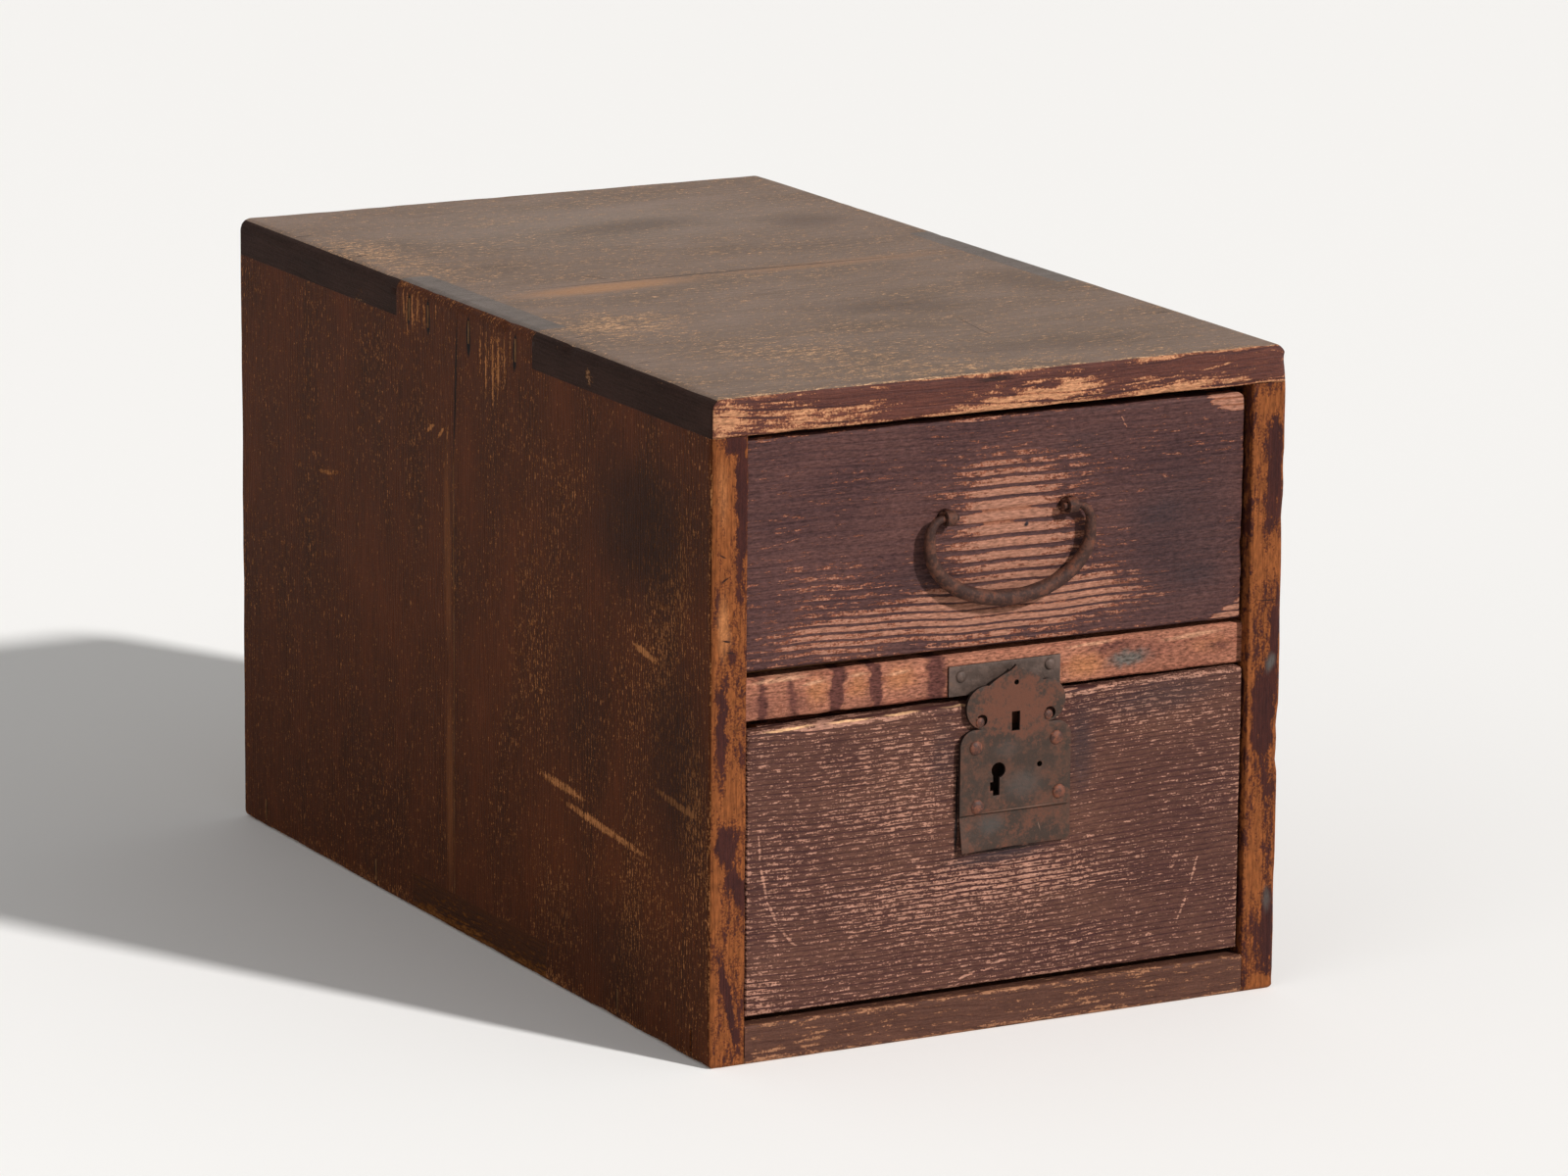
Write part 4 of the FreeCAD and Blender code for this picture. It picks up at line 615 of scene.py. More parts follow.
RIGHT_SIDE_WOOD = aged_wood(
    "stained_cedar_right_side", "side", "side",
    patches=((-150, 60, 60, 60, 0, 0.14), (-60, 200, 80, 40, 6, 0.12), (-212, 120, 12, 60, 0, 0.2),
             (120, 110, 60, 50, 0, 0.12), (-215, 240, 14, 30, 0, 0.16), (30, 40, 70, 30, 0, 0.1),
             (190, 220, 40, 50, 0, 0.14), (-30, 264, 16, 16, 0, 0.16)),
    scratches=((-96, 186, -62, 192, 2.2, 0.5), (-190, 72, -150, 61, 2.4, 0.5),
               (60, 96, 112, 101, 2.2, 0.45), (150, 214, 166, 206, 1.6, 0.6), (-30, 120, -6, 113, 1.6, 0.5),
               (56, 279, 55.5, 256, 1.1, 0.5), (44, 279, 44.5, 262, 1, 0.5), (20, 279, 20, 265, 1, 0.4),
               (-20, 277, -20.5, 250, 1.1, 0.4), (-33, 277, -32.5, 243, 1.1, 0.5),
               (-44, 278, -44.5, 258, 1, 0.4), (-230, 4, 228, 4, 4, 0.16)),
    tints=(("#241610", ((-120, 120, 90, 70, 0, 0.5), (-190, 226, 50, 40, 0, 0.5),
                        (100, 60, 90, 40, 0, 0.35), (60, 220, 60, 30, 0, 0.3)), ()),
           SIDE_STRIP, SIDE_LINES), **SIDE_LOOK)
# The ends of the top board's fingers: end grain drinks lacquer and stays the darkest part of the case.
END_STRIP_WOOD = aged_wood(
    "lacquered_end_grain", "end", "top", "#382620", "#261914", "#4b3221", "#8c674b", "#5a3d29", wear=0.1,
    arris=0.2, arris_reach=2, plane="yz", dash=(3, 1.4), spread=1.3, clouds=(40, 20), film_roughness=0.5,
    sheen=0.015, lines=0.1, line_tone=0.1,
    patches=((-120, 270.5, 5, 7, 0, 0.6), (104, 266, 10, 7, 0, 0.35)))
# The bottom board's fingers, end grain scuffed where the case is slid about.
TONGUE_WOOD = aged_wood(
    "rubbed_tongue_end", "end", "bottom", "#4e2b17", "#331d12", "#583417", "#774a26", "#553417", wear=0.3,
    plane="yz", dash=(5, 1.6), sheen=0.02)
# Cedar never finished, behind the fronts and inside the case: dry, pale and dusty brown.
BARE_LOOK = {"thin": "#936a49", "thick": "#7b563a", "rubbed": "#9d734f", "early": "#b0845c",
             "late": "#8d6545", "wear": 0.5, "arris": 0.1, "spread": 0.9, "speck": 0.3, "clouds": (90, 40),
             "film_roughness": 0.7, "sheen": 0.08, "relief": 0.12, "film_grit": 0.25, "bare_grit": 0.3}
BARE_SIDE_WOOD = aged_wood("bare_cedar_upright", "side", "side", **BARE_LOOK)
BARE_WOOD = aged_wood("bare_cedar", "top", "bottom", **BARE_LOOK)
DRAWER_BACK_WOOD = aged_wood("bare_drawer_back", "front", "drawer_board", **BARE_LOOK)
DRAWER_SIDE_WOOD = aged_wood("bare_drawer_side", "end", "drawer_board", **BARE_LOOK)
# The back boards, never finished but long in the room's air: duller and darker, with broad rings.
BACK_LOOK = {"thin": "#83603f", "thick": "#694930", "rubbed": "#8c6945", "early": "#9c774f",
             "late": "#76532f", "wear": 0.34, "arris": 0, "spread": 1.2, "speck": 0.6, "clouds": (110, 30),
             "line_tone": 0.55, "line_from": 0.45, "line_hold": 0.6, "lines": 0.5, "film_roughness": 0.7,
             "sheen": 0.06, "relief": 0.16, "film_grit": 0.35, "bare_grit": 0.4}
BACK_LOWER_WOOD = aged_wood(
    "bare_cedar_back_lower", "front", "back_lower",
    tints=(("#4d3523", ((-20, 30, 100, 16, 0, 0.4), (90, 96, 40, 30, 0, 0.3)),
            ((-136, 18, 136, 18, 3, 0.5),)),), **BACK_LOOK)
BACK_UPPER_WOOD = aged_wood(
    "bare_cedar_back_upper", "front", "back_upper",
    tints=(("#4d3523", ((-70, 220, 60, 30, 0, 0.3), (60, 160, 70, 16, 0, 0.3)),
            ((-136, 262, 136, 262, 3, 0.5),)),), **BACK_LOOK)
# Pegs split and whittled from deutzia, harder and yellower than the boards.
PEG_WOOD = aged_wood(
    "whittled_pegs", "side", "side", "#a47f58", "#87653f", "#b08a60", "#bf9a70", "#9a7448", wear=0.5,
    arris=0, spread=0.6, film_roughness=0.7, relief=0.08, sheen=0.12)
# Hammered iron rod, burnished dark brown by hands with dull rust in its hollows.
BAIL_IRON = old_iron(
    "forged_bail_iron", "#331f19", "#533428", "#683c2c", 5, 0.02, relief=0.2, metallic=0.03, roughness=0.74,
    sheen=0.2, contrast=1.8)
# Hand-made nails under dry red-brown rust.
NAIL_IRON = old_iron("forged_nail_iron", "#3d251d", "#5c372a", "#7c4832", 4, 0.06, metallic=0.1, sheen=0.3)
# Thin sheet cut by chisel: grey-brown where wiped, red-brown bloom on the head and round the nails.
SHEET_IRON = old_iron(
    "rusted_sheet_iron", "#35271f", "#4a3125", "#5d392b", 11, 0.03,
    patches=((LOCK_X, 139, 30, 22, 0, 0.2), (LOCK_X, 86, 30, 9, 0, 0.05),
             (LOCK_X + 2, 112, 24, 14, 0, -0.06)),
    tints=(("#3f3b37", ((LOCK_X + 4, 104, 13, 9, 0, 0.6), (LOCK_X - 10, 88, 9, 6, 0, 0.7),
                        (LOCK_X - 4, 120, 9, 6, 0, 0.4)), ()),
           # The first light mark runs along the plate's lower edge and is a painted highlight where that
           # edge catches the light.
           ("#7a5d4e", (), ((LOCK_X - 26, 93.4, LOCK_X + 27, 94.2, 0.5, 0.5),
                            (LOCK_X + 12, 87, LOCK_X + 13.5, 82.5, 0.35, 0.7)))), metallic=0.12, sheen=0.25)
# Thicker sheet let into the rail, rubbed grey by the plate above it.
STRIKE_IRON = old_iron(
    "grey_sheet_iron", "#453730", "#57463e", "#6b4f3f", 9, -0.03, metallic=0.15, sheen=0.25)
# Iron painted dark as shade, out of the light: nails down in their holes and the sheets' cut edges.
SHADED_IRON = old_iron("painted_shade_iron", "#1c1412", "#281c18", "#402b20", 4, -0.04, sheen=0.2)

# --- case -----------------------------------------------------------------------------------------
JOINT_EASE = 0.22
# How far each outer arris has worn; the hand-worn right one at the top has gone furthest.
CASE_ARRISES = {
    (X, 0, Z, 1): (5.2, 1.1, 15.0), (X, 1, Z, 1): (7.2, 0.8, 30.0), (Y, 0, Z, 1): (2.4, 1.1, 21.0),
    (X, 0, Y, 0): (2.2, 1.1, 17.0), (X, 1, Y, 0): (2.7, 1.5, 25.0), (X, 0, Z, 0): (2.6, 0.9, 19.0),
    (X, 1, Z, 0): (2.6, 0.9, 19.0), (Y, 0, Z, 0): (1.4, 0.8, 15.0), (Y, 1, Z, 1): (1.9, 0.8, 22.0),
    (X, 0, Y, 1): (1.9, 0.8, 22.0), (X, 1, Y, 1): (1.9, 0.8, 22.0), (Y, 1, Z, 0): (1.6, 0.6, 22.0),
}
ARRIS_ROWS = (0.8, 1.7, 2.8, 4.2, 6.0, 8.0)
LONG_WAY = 30.0
SEAM_LEANS_FROM, SEAM_LEAN, SEAM_REACH = 205.0, 4.0, 16.0
SEAM_GAP, SEAM_OPENING = 0.28, 0.8
MOUTH_LAP_Y = -HALF_DEPTH + 18.0


def near_ends(low, high):
    """Places close to both ends, where an arris curves most."""
    return [low + row for row in ARRIS_ROWS] + [high - row for row in ARRIS_ROWS]


def uneven(bm, depth, length):
    """Lets the plane's slight hollows into every outer face, always inwards."""
    for vert in bm.verts:
        hollow = depth * (0.5 + 0.8 * noise.noise(vert.co / length))
        for axis, (low, high) in enumerate(CASE_BOX):
            inside_low, inside_high = vert.co[axis] - low, high - vert.co[axis]
            if inside_low < 0.5 and axis != Z:
                vert.co[axis] += max(0.0, hollow)
            elif inside_high < 0.5:
                vert.co[axis] -= max(0.0, hollow)


def case_board(name, finish_of, step, own_box, own_arrises, shape):
    """A board of the case: joint lines eased, outer arrises worn, faces finished by where they point."""
    bm = cad_copy(name)
    ease_edges(bm, JOINT_EASE, shortest=3.0)
    lows = [min(vert.co[axis] for vert in bm.verts) for axis in (X, Y, Z)]
    highs = [max(vert.co[axis] for vert in bm.verts) for axis in (X, Y, Z)]
    for axis in (X, Y, Z):
        low, high = lows[axis], highs[axis]
        rows = [place for place in near_ends(low, high) if low < place < high]
        if high - low > LONG_WAY:
            rows += spaced(low, high, step)
        slice_faces(bm, axis, sorted(rows))
    bm.normal_update()
    for face in bm.faces:
        face.material_index = finish_of(face.normal, face.calc_center_median())
    if shape:
        shape(bm)
    if own_arrises:
        wear_arrises(bm, own_box, own_arrises)
    wear_arrises(bm, CASE_BOX, CASE_ARRISES)
    uneven(bm, depth=0.22, length=45.0)
    return bm


def open_seam(bm):
    """The side's seam leans forward near the top, where it has also opened; below it is a hairline."""
    for vert in bm.verts:
        away = vert.co.y - SIDE_SEAM
        if abs(away) < SEAM_REACH:
            up = max(0.0, (vert.co.z - SEAM_LEANS_FROM) / (HEIGHT - SEAM_LEANS_FROM))
            vert.co.y -= SEAM_LEAN * up * (1.0 - abs(away) / SEAM_REACH)
            if abs(away) < 0.6:
                faces = vert.link_faces
                ahead = sum(face.calc_center_median().y for face in faces) / len(faces) < SIDE_SEAM
                vert.co.y += (SEAM_GAP + SEAM_OPENING * up) * (-1 if ahead else 1)


def case_finish(on_top, front, outer, bare):
    """Which finish a face of the case takes, by where it points and how near the mouth it is."""
    def pick(normal, centre):
        if centre.z > 270.0 and normal.z > 0.86:
            return on_top
        in_mouth = abs(centre.x) < 130.0 and 3.0 < centre.z < HEIGHT - 3.0
        if centre.y < MOUTH_LAP_Y and (normal.y < -0.5 or in_mouth):
            return front
        on_side = abs(centre.x) > 128.0 and abs(normal.x) > 0.45
        on_back = centre.y > 224.0 and normal.y > 0.45
        return outer if on_side or on_back else bare
    return pick


side_finish = case_finish(2, 1, 0, 3)
LEFT_FINISHES = ([LEFT_SIDE_WOOD, LEFT_POST_WOOD, GREY_END_WOOD, BARE_SIDE_WOOD], side_finish)
RIGHT_FINISHES = ([RIGHT_SIDE_WOOD, RIGHT_POST_WOOD, GREY_END_WOOD, BARE_SIDE_WOOD], side_finish)
TOP_FINISHES = ([TOP_WOOD, TOP_FRONT_WOOD, END_STRIP_WOOD, BARE_WOOD], case_finish(0, 1, 2, 3))
BOTTOM_FINISHES = ([BOTTOM_FRONT_WOOD, TONGUE_WOOD, BARE_WOOD], case_finish(2, 0, 1, 2))

LEFT_SIDE_BOX = ((-HALF_WIDTH, -INNER_X), (-HALF_DEPTH, SIDE_SEAM), (0.0, HEIGHT))
RIGHT_SIDE_BOX = ((INNER_X, HALF_WIDTH), (-HALF_DEPTH, SIDE_SEAM), (0.0, HEIGHT))
BETWEEN_SIDES_BOX = ((-INNER_X, INNER_X), (-HALF_DEPTH, BOTTOM_SEAM), (0.0, BOARD))
# The arrises round the case's mouth, and their wear.
MOUTH_WEAR = (1.1, 0.6, 14.0)
MOUTH_LEFT, MOUTH_RIGHT = (X, 1, Y, 0), (X, 0, Y, 0)
MOUTH_TOP, MOUTH_BOTTOM = (Y, 0, Z, 0), (Y, 0, Z, 1)
# Each board with its slot, its finishes, how finely it is cut, its box and mouth arris, and what else
# is done to it.
CASE_BOARDS = (
    ("top_front_board", "worn_lacquer_top", TOP_FINISHES, 5.0, TOP_BOX, {MOUTH_TOP: MOUTH_WEAR}, None),
    ("top_rear_board", "worn_lacquer_top", TOP_FINISHES, 8.0, None, None, None),
    ("left_side_front_board", "stained_side", LEFT_FINISHES, 5.0, LEFT_SIDE_BOX,
     {MOUTH_LEFT: MOUTH_WEAR}, open_seam),
    ("left_side_rear_board", "stained_side", LEFT_FINISHES, 8.0, None, None, open_seam),
    ("right_side_front_board", "stained_side", RIGHT_FINISHES, 5.0, RIGHT_SIDE_BOX,
     {MOUTH_RIGHT: MOUTH_WEAR}, open_seam),
    ("right_side_rear_board", "stained_side", RIGHT_FINISHES, 8.0, None, None, open_seam),
    ("bottom_front_board", "stained_bottom", BOTTOM_FINISHES, 6.0, BETWEEN_SIDES_BOX,
     {MOUTH_BOTTOM: MOUTH_WEAR}, None),
    ("bottom_rear_board", "stained_bottom", BOTTOM_FINISHES, 8.0, None, None, None),
)
for name, slot, finishes, step, own_box, own_arrises, shape in CASE_BOARDS:
    board = case_board(name, finishes[1], step, own_box, own_arrises, shape)
    finish_piece(board, "worn_" + name, "case", finishes[0], [name])


# --- drawer fronts and rail -----------------------------------------------------------------------
LACQUER_LAP = 12.0
GROOVE_AT, GROOVE_HALF = 0.86, 0.2


def raise_grain(bm, face_y, grain, depth_at):
    """Sinks the narrow lines between the rings, most where the film is worn away."""
    for vert in bm.verts:
        if vert.co.y > face_y + 0.6:
            continue
        share = ring_share(grain, vert.co.x, vert.co.z, vert.co.y)
        groove = max(0.0, 1.0 - abs(share - GROOVE_AT) / GROOVE_HALF)
        shallow = 0.5 + 0.5 * noise.noise(Vector((vert.co.x / 30.0, vert.co.z / 6.0, 1.0)))
        vert.co.y += (depth_at(vert.co.x, vert.co.z) * groove * groove * (3 - 2 * groove)
                      * (0.6 + 0.8 * shallow))


def ellipse(x, z, centre_x, centre_z, half_x, half_z):
    """1 in an ellipse's middle, falling to 0 at its rim."""
    return max(0.0, 1.0 - hypot((x - centre_x) / half_x, (z - centre_z) / half_z))


def upper_relief(x, z):
    """The depth of the upper front's grain: deepest round the bail, and low along the front's foot."""
    rubbed = ellipse(x, z, 8.0, 208.0, 60.0, 45.0) + ellipse(x, z, 0.0, 178.0, 120.0, 16.0)
    return 0.03 + 0.5 * min(1.0, 1.4 * rubbed)


def lower_relief(x, z):
    """The depth of the lower front's grain: deepest left of the lock and under it."""
    rubbed = ellipse(x, z, -40.0, 100.0, 50.0, 50.0) + ellipse(x, z, -10.0, 60.0, 90.0, 32.0)
    return 0.05 + 0.22 * min(1.0, 1.4 * rubbed)


def sloped_box(left_low, right_low, left_high, right_high, face_y):
    """A drawer front's sides at a point; its lower and upper edges slope."""
    def sides(point):
        share = (point.x + FRONT_HALF) / (2 * FRONT_HALF)
        low = left_low + (right_low - left_low) * share
        high = left_high + (right_high - left_high) * share
        return ((-FRONT_HALF, FRONT_HALF), (face_y, face_y + FRONT_THICK), (low, high))
    return sides


def bare_behind(bm, place_y):
    """Gives what lies behind a place the second finish."""
    for face in bm.faces:
        face.material_index = int(face.calc_center_median().y > place_y)


def drawer_front(name, body, face_y, sides, arrises, grain, relief, rows, material):
    """A drawer's front: arrises worn, grain raised, and lacquer a little way round its edges."""
    lap_y = face_y + LACQUER_LAP
    bm = cad_copy(name)

    def forward(face):
        return face.normal.y < -0.3

    def outer(face):
        return face.calc_center_median().y < face_y + 9.0

    slice_faces(bm, X, near_ends(-FRONT_HALF, FRONT_HALF) + spaced(-FRONT_HALF, FRONT_HALF, 5.0), outer)
    slice_faces(bm, Z, rows, forward)
    slice_faces(bm, Y, (face_y + 3.5, lap_y), outer)
    bare_behind(bm, lap_y)
    wear_arrises(bm, sides, arrises)
    raise_grain(bm, face_y, grain, relief)
    finish_piece(bm, "worn_" + name, body, [material, BARE_WOOD], [name])


drawer_front("upper_drawer_front", "upper_drawer", UPPER_FACE_Y,
             sloped_box(164.6, 163.0, 261.5, 259.9, UPPER_FACE_Y),
             {(Y, 0, Z, 1): (2.4, 0.5, 30.0), (Y, 0, Z, 0): (1.0, 0.6, 12.0),
              (X, 0, Y, 0): (1.0, 0.5, 12.0), (X, 1, Y, 0): (1.4, 1.0, 13.0),
              (X, 1, Z, 1): (4.5, 0.3, 9.0), (X, 1, Z, 0): (2.0, 0.3, 9.0)},
             GRAINS["upper_front"], upper_relief, spaced(162.5, 262.0, 0.85), LACQUERED_UPPER)
drawer_front("lower_drawer_front", "lower_drawer", LOWER_FACE_Y,
             sloped_box(19.5, 19.5, 139.6, 142.4, LOWER_FACE_Y),
             {(Y, 0, Z, 1): (2.6, 0.6, 30.0), (Y, 0, Z, 0): (1.0, 0.5, 12.0),
              (X, 0, Y, 0): (1.1, 0.5, 12.0), (X, 1, Y, 0): (1.1, 0.5, 12.0),
              (X, 0, Z, 1): (2.0, 0.3, 9.0), (X, 1, Z, 1): (2.0, 0.3, 9.0)},
             GRAINS["lower_front"], lower_relief, spaced(19.0, 142.6, 0.75), LACQUERED_LOWER)

rail = cad_copy("divider_rail")
slice_faces(rail, X, spaced(-RAIL_HALF, RAIL_HALF, 5.0), lambda face: face.calc_center_median().y < -218.0)
slice_faces(rail, Z, spaced(RAIL_Z, RAIL_TOP_Z, 1.4), lambda face: face.normal.y < -0.5)
RAIL_BOX = ((-RAIL_HALF, RAIL_HALF), (RAIL_FACE_Y, RAIL_FACE_Y + 42.0), (RAIL_Z, RAIL_TOP_Z))
wear_arrises(rail, RAIL_BOX, {(Y, 0, Z, 0): (0.9, 0.5, 11.0), (Y, 0, Z, 1): (1.0, 0.6, 11.0)})
bare_behind(rail, RAIL_FACE_Y + 3.0)
finish_piece(rail, "worn_divider_rail", "case", [RAIL_WOOD, BARE_WOOD], ["divider_rail"])

# --- plain boards ---------------------------------------------------------------------------------
DRAWER_BOARDS = {"left_side": DRAWER_SIDE_WOOD, "right_side": DRAWER_SIDE_WOOD, "back": DRAWER_BACK_WOOD,
                 "bottom": BARE_WOOD}
PLAIN_BOARDS = {
    "case": {"back_lower_board": BACK_LOWER_WOOD, "back_upper_board": BACK_UPPER_WOOD,
             "left_runner": DRAWER_SIDE_WOOD, "right_runner": DRAWER_SIDE_WOOD},
    "upper_drawer": {"upper_drawer_" + part: wood for part, wood in DRAWER_BOARDS.items()},
    "lower_drawer": {"lower_drawer_" + part: wood for part, wood in DRAWER_BOARDS.items()},
}
for body, boards in PLAIN_BOARDS.items():
    for name, wood in boards.items():
        board = cad_copy(name)
        ease_edges(board, 0.5, shortest=8.0)
        finish_piece(board, "eased_" + name, body, [wood], [name])

# --- bail and eyes --------------------------------------------------------------------------------
BAIL_TIP_X, BAIL_HALF = 25.0, 38.2
BAIL_BEND, BAIL_DROP, BAIL_BOW = 6.8, 36.0, 24.5
TIP_RADIUS, GRIP_RADIUS = 1.35, 3.3
ROD_SIDES = 24


def rod_along(path):
    """A closed rod through (centre, radius) stations that lie in one upright plane."""
    bm = bmesh.new()
    before = None
    for number, (centre, radius) in enumerate(path):
        ahead = path[min(number + 1, len(path) - 1)][0] - path[max(number - 1, 0)][0]
        place = Matrix.Translation(centre) @ ahead.to_track_quat("Z", "Y").to_matrix().to_4x4()
        ring = bmesh.ops.create_circle(bm, segments=ROD_SIDES, radius=radius, matrix=place)["verts"]
        edges = list({edge for vert in ring for edge in vert.link_edges})
        if before:
            bmesh.ops.bridge_loops(bm, edges=before + edges)
        before = edges
    bmesh.ops.holes_fill(bm, edges=[edge for edge in bm.edges if edge.is_boundary], sides=ROD_SIDES)
    bmesh.ops.recalc_face_normals(bm, faces=bm.faces)
    return bm


def bail_path():
    """The bail from its left tip, round the grip, to its right tip."""
    half = [(BAIL_TIP_X + share * (BAIL_HALF - BAIL_BEND - BAIL_TIP_X) / 4, 0.0) for share in range(4)]
    half += [(BAIL_HALF - BAIL_BEND + BAIL_BEND * sin(radians(turn)), -BAIL_BEND * (1 - cos(radians(turn))))
             for turn in range(0, 90, 12)]
    half += [(BAIL_HALF * cos(radians(turn)), -BAIL_DROP + BAIL_BOW - BAIL_BOW * sin(radians(turn)))
             for turn in range(0, 91, 5)]
    path = []
    for side, points in ((-1, half), (1, half[-2::-1])):
        for x, z in points:
            share = min(1.0, -z / BAIL_DROP)
            radius = TIP_RADIUS + (GRIP_RADIUS - TIP_RADIUS) * share ** 0.5
            if share > 0.1:          # past the turned tips
                radius *= 1.0 + 0.035 * noise.noise(Vector((x * side / 5.0, z / 5.0, 3.0)))
            path.append((PIVOT + Vector((side * x, 0.0, z)), radius))
    return path


bail = rod_along(bail_path())
for vert in bail.verts:          # hammer marks
    vert.co += vert.normal * 0.10 * noise.noise(vert.co / 2.6)
finish_piece(bail, "forged_bail", "bail", [BAIL_IRON], ["bail_handle"])

for side in ("left", "right"):
    eye = cad_copy("handle_eye_" + side)
    ease_edges(eye, 0.55, segments=3)
    finish_piece(eye, "strap_eye_" + side, "upper_drawer", [BAIL_IRON],
                 ["handle_eye_" + side])


# --- lock -----------------------------------------------------------------------------------------
SHEET_STEP = 2.6


def shade_cut_edges(bm):
    """Gives everything but the face of a sheet the second finish, a painted shade along its cut edges."""
    bm.normal_update()
    for face in bm.faces:
        face.material_index = int(face.normal.y > -0.5)


def sheet_piece(name, bend):
    """A piece of sheet iron with worn edges, bent by a rule that gives how far each place stands out."""
    bm = cad_copy(name)
    ease_edges(bm, 0.22, segments=2)
    for axis in (X, Z):
        places = [vert.co[axis] for vert in bm.verts]
        slice_faces(bm, axis, spaced(min(places), max(places), SHEET_STEP))
    for vert in bm.verts:
        vert.co.y -= bend(vert.co.x - LOCK_X, vert.co.z - RAIL_Z)
    shade_cut_edges(bm)
    finish_piece(bm, "rusted_" + name, "lower_drawer", [SHEET_IRON, SHADED_IRON],
                 [name])


def plate_bend(x, z):
    """The plate's left edge stands a little proud, and its face is dented here and there."""
    left = max(0.0, (-x - 14.0) / 12.6) ** 2 * 0.55
    return left + 0.14 * (0.5 + noise.noise(Vector((x / 9.0, z / 9.0, 0.0))))


def apron_bend(x, z):
    """The apron's lower left corner is bent well out, and its right corner a little."""
    below = max(0.0, (-49.8 - z) / 16.0)
    left = max(0.0, (6.0 - x) / 32.0)
    right = max(0.0, (x - 16.0) / 12.0)
    return below * (2.9 * left ** 1.5 + 0.5 * right) + 0.05


sheet_piece("lock_plate", plate_bend)
sheet_piece("lock_apron", apron_bend)

# Each nail as (across, up, radius), from the middle of its plate and the rail's underside.
PLATE_NAILS = ((-19.0, -21.3, 3.1), (19.5, -20.9, 3.1), (-18.1, -46.4, 3.1), (21.1, -44.2, 3.1),
               (-17.1, -10.6, 2.1), (15.5, -10.6, 2.1))
STRIKE_NAILS = ((-20.8, 8.7, 2.5), (21.5, 9.6, 2.5))


def dome_nails(name, places, middle_x, face_y, body, node, tilt, iron):
    """Hammered round nail heads, each a little out of true."""
    bm = bmesh.new()
    for number, (x, z, radius) in enumerate(places):
        lean = Matrix.Rotation(radians(tilt * sin(number * 2.4)), 4, "X") @ Matrix.Rotation(
            radians(tilt * cos(number * 1.7)), 4, "Z")
        place = Matrix.Translation((middle_x + x, face_y, RAIL_Z + z)) @ lean
        made = bmesh.ops.create_uvsphere(bm, u_segments=22, v_segments=14, radius=radius,
                                         matrix=place @ Matrix.Diagonal((1.0, 0.5, 1.0, 1.0)))["verts"]
        for vert in made:
            vert.co += vert.normal * 0.09 * noise.noise(vert.co / 1.4)
    finish_piece(bm, name, body, [iron], [node])


dome_nails("lock_nail_heads", PLATE_NAILS, LOCK_X, PLATE_FACE_Y, "lower_drawer",
           "lock_nails", 5.0, NAIL_IRON)
dome_nails("strike_nail_heads", STRIKE_NAILS, STRIKE_X, RAIL_FACE_Y - STRIKE_THICK, "case",
           "strike_plate_nails", 4.0, STRIKE_IRON)

strike = cad_copy("strike_plate")
ease_edges(strike, 0.2, segments=2)
shade_cut_edges(strike)
finish_piece(strike, "grey_strike_plate", "case", [STRIKE_IRON, SHADED_IRON],
             ["strike_plate"])

# --- nails of the case, and what keeps its shape from the frame -----------------------------------
# The joint nails' heads lie a little below the worn faces round them.
NAIL_SUNK, HEAD_WITHIN = 0.9, 0.6
nails = cad_copy("case_joint_nails")
for vert in nails.verts:
    for axis, (low, high) in enumerate(CASE_BOX):
        if vert.co[axis] < low + HEAD_WITHIN:
            vert.co[axis] = low + NAIL_SUNK
        elif vert.co[axis] > high - HEAD_WITHIN:
            vert.co[axis] = high - NAIL_SUNK
ease_edges(nails, 0.15, shortest=1.0)
finish_piece(nails, "sunk_case_nails", "case", [SHADED_IRON], ["case_joint_nails"])

# Small and hidden pieces keep their shape and only take a finish.
KEPT = {"back_nails": SHADED_IRON, "runner_nails": SHADED_IRON,
        "upper_drawer_pegs": PEG_WOOD, "lower_drawer_pegs": PEG_WOOD, "lock_case": SHEET_IRON,
        "lock_spring": SHEET_IRON, "lock_bolt": SHEET_IRON}
for name, material in KEPT.items():
    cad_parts[name].data.materials.clear()
    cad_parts[name].data.materials.append(material)

# --- camera, floor and light ----------------------------------------------------------------------
scene = bpy.context.scene
camera = bpy.data.objects.new("camera", bpy.data.cameras.new("camera"))
scene.collection.objects.link(camera)
scene.camera = camera
camera.data.sensor_width = 36.0
camera.data.lens = 170.14
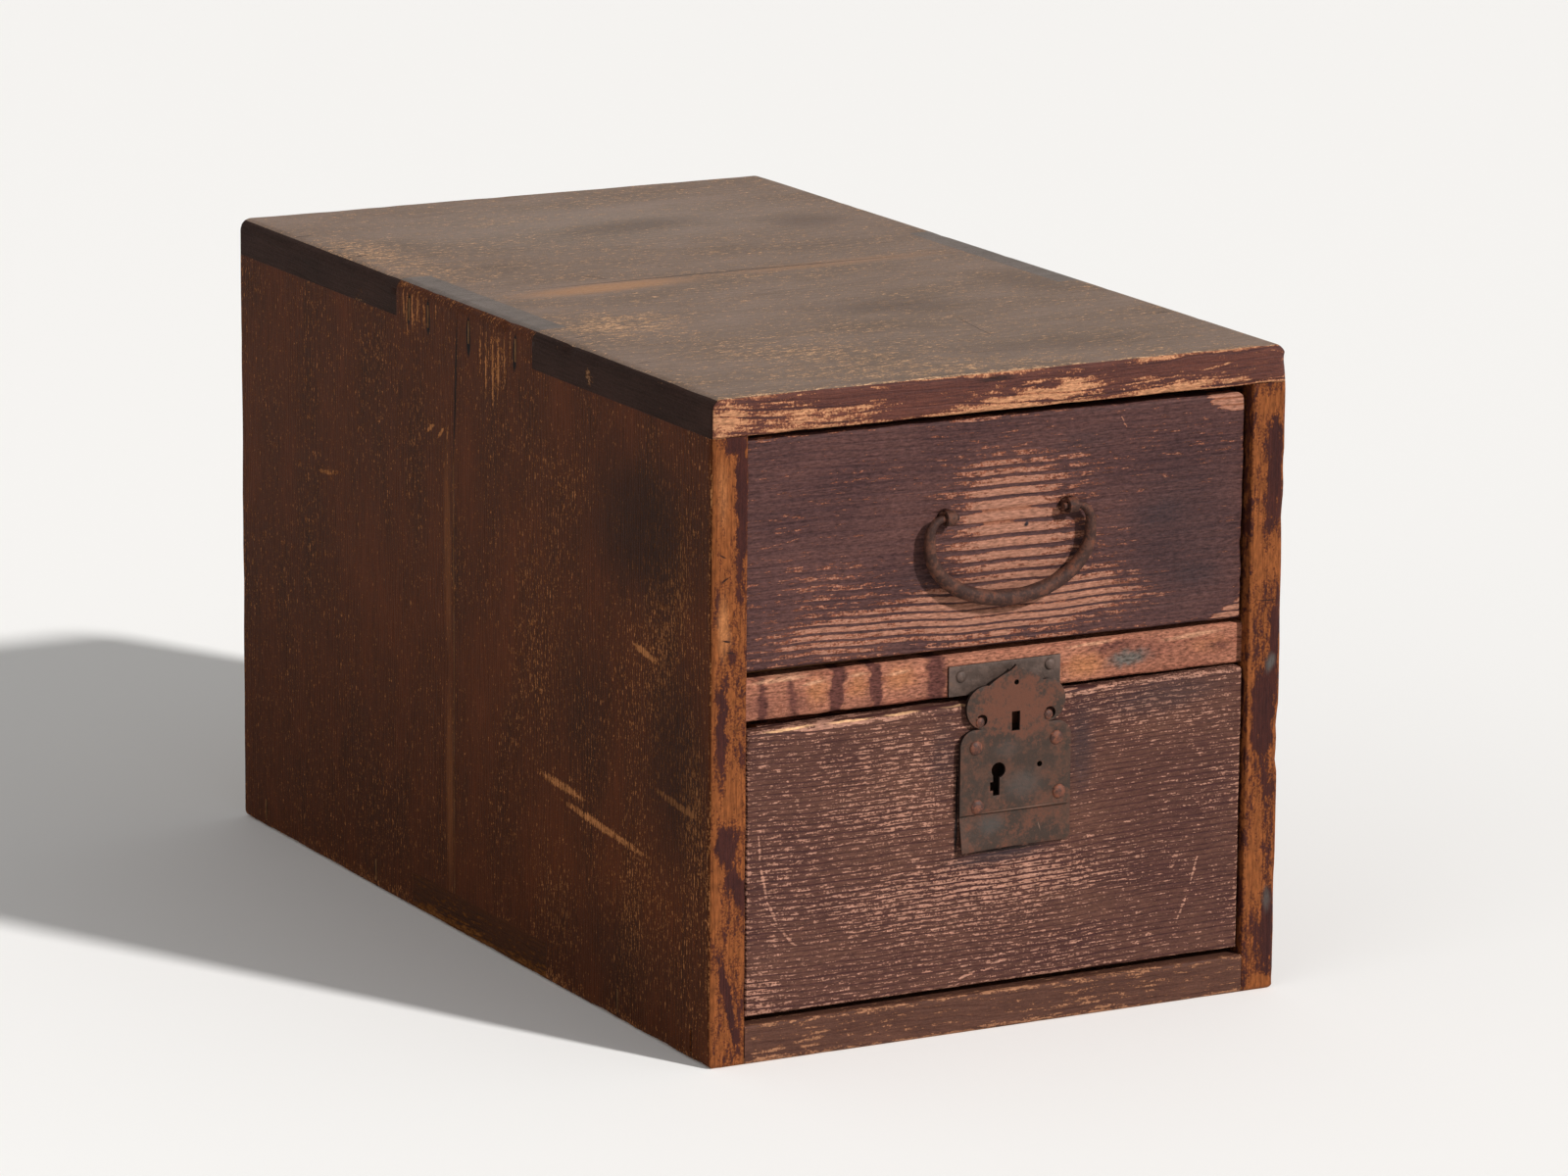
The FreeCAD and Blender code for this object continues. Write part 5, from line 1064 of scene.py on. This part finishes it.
# Far off to the left of the front and a little above, as a long lens stands.
turn, lift, roll = radians(-28.48), radians(12.94), radians(0.46)
back = Vector((sin(turn) * cos(lift), -cos(turn) * cos(lift), sin(lift)))
right = Vector((cos(turn), sin(turn), 0.0))
up = back.cross(right)
rolled_right = right * cos(roll) + up * sin(roll)
rolled_up = up * cos(roll) - right * sin(roll)
CAMERA_PLACE = (-1.49856, -2.80308, 0.87164)
camera.matrix_world = Matrix.Translation(CAMERA_PLACE) @ Matrix(
    (rolled_right, rolled_up, back)).transposed().to_4x4()

FLOOR_SIZE = 14.0
floor_mesh = bmesh.new()
bmesh.ops.create_grid(floor_mesh, x_segments=1, y_segments=1, size=FLOOR_SIZE / 2)
floor_data = bpy.data.meshes.new("floor")
floor_mesh.to_mesh(floor_data)
floor_mesh.free()
floor_object = bpy.data.objects.new("floor", floor_data)
scene.collection.objects.link(floor_object)
floor_material, add = new_material("plain_pale_floor")
shader = add("BsdfPrincipled", {"Base Color": linear("#f3f1ee"), "Roughness": 0.9,
                                "Specular IOR Level": 0.2})
add("OutputMaterial", {"Surface": shader})
floor_data.materials.append(floor_material)

ROOM_LIGHT = 0.36
world = bpy.data.worlds.new("studio")
scene.world = world
world.use_nodes = True
world.node_tree.nodes.clear()
add = partial(add_node, world.node_tree)
# The room shows white, and in gloss too, but lights the chest more softly.
rays = add("LightPath").node.outputs
seen = add("Math", {0: rays["Is Camera Ray"], 1: rays["Is Glossy Ray"]}, operation="ADD")
seen = add("Math", {0: seen, 1: rays["Is Transmission Ray"]}, operation="ADD", use_clamp=True)
strength = add("MapRange", {"Value": seen, "To Min": ROOM_LIGHT, "To Max": 1.0})
add("OutputWorld", {"Surface": add("Background", {"Color": (1.0, 1.0, 1.0, 1.0), "Strength": strength})})


def lamp(name, kind, toward, strength, size):
    """A lamp that shines on the chest from a direction: a sun's size is its angle, an area's its width."""
    data = bpy.data.lights.new(name, kind)
    data.energy = strength
    setattr(data, "angle" if kind == "SUN" else "size", size)
    light = bpy.data.objects.new(name, data)
    scene.collection.objects.link(light)
    light.location = Vector(toward) + Vector((0.0, 0.0, HEIGHT / 2 * MM))
    light.rotation_mode = "QUATERNION"
    light.rotation_quaternion = Vector(toward).to_track_quat("Z", "Y")


lamp("window", "SUN", toward=(1.88, -3.70, 2.80), strength=3.6, size=radians(3.5))
lamp("fill", "AREA", toward=(-2.6, -1.4, 1.5), strength=10.0, size=2.0)

scene.view_settings.view_transform = "Standard"
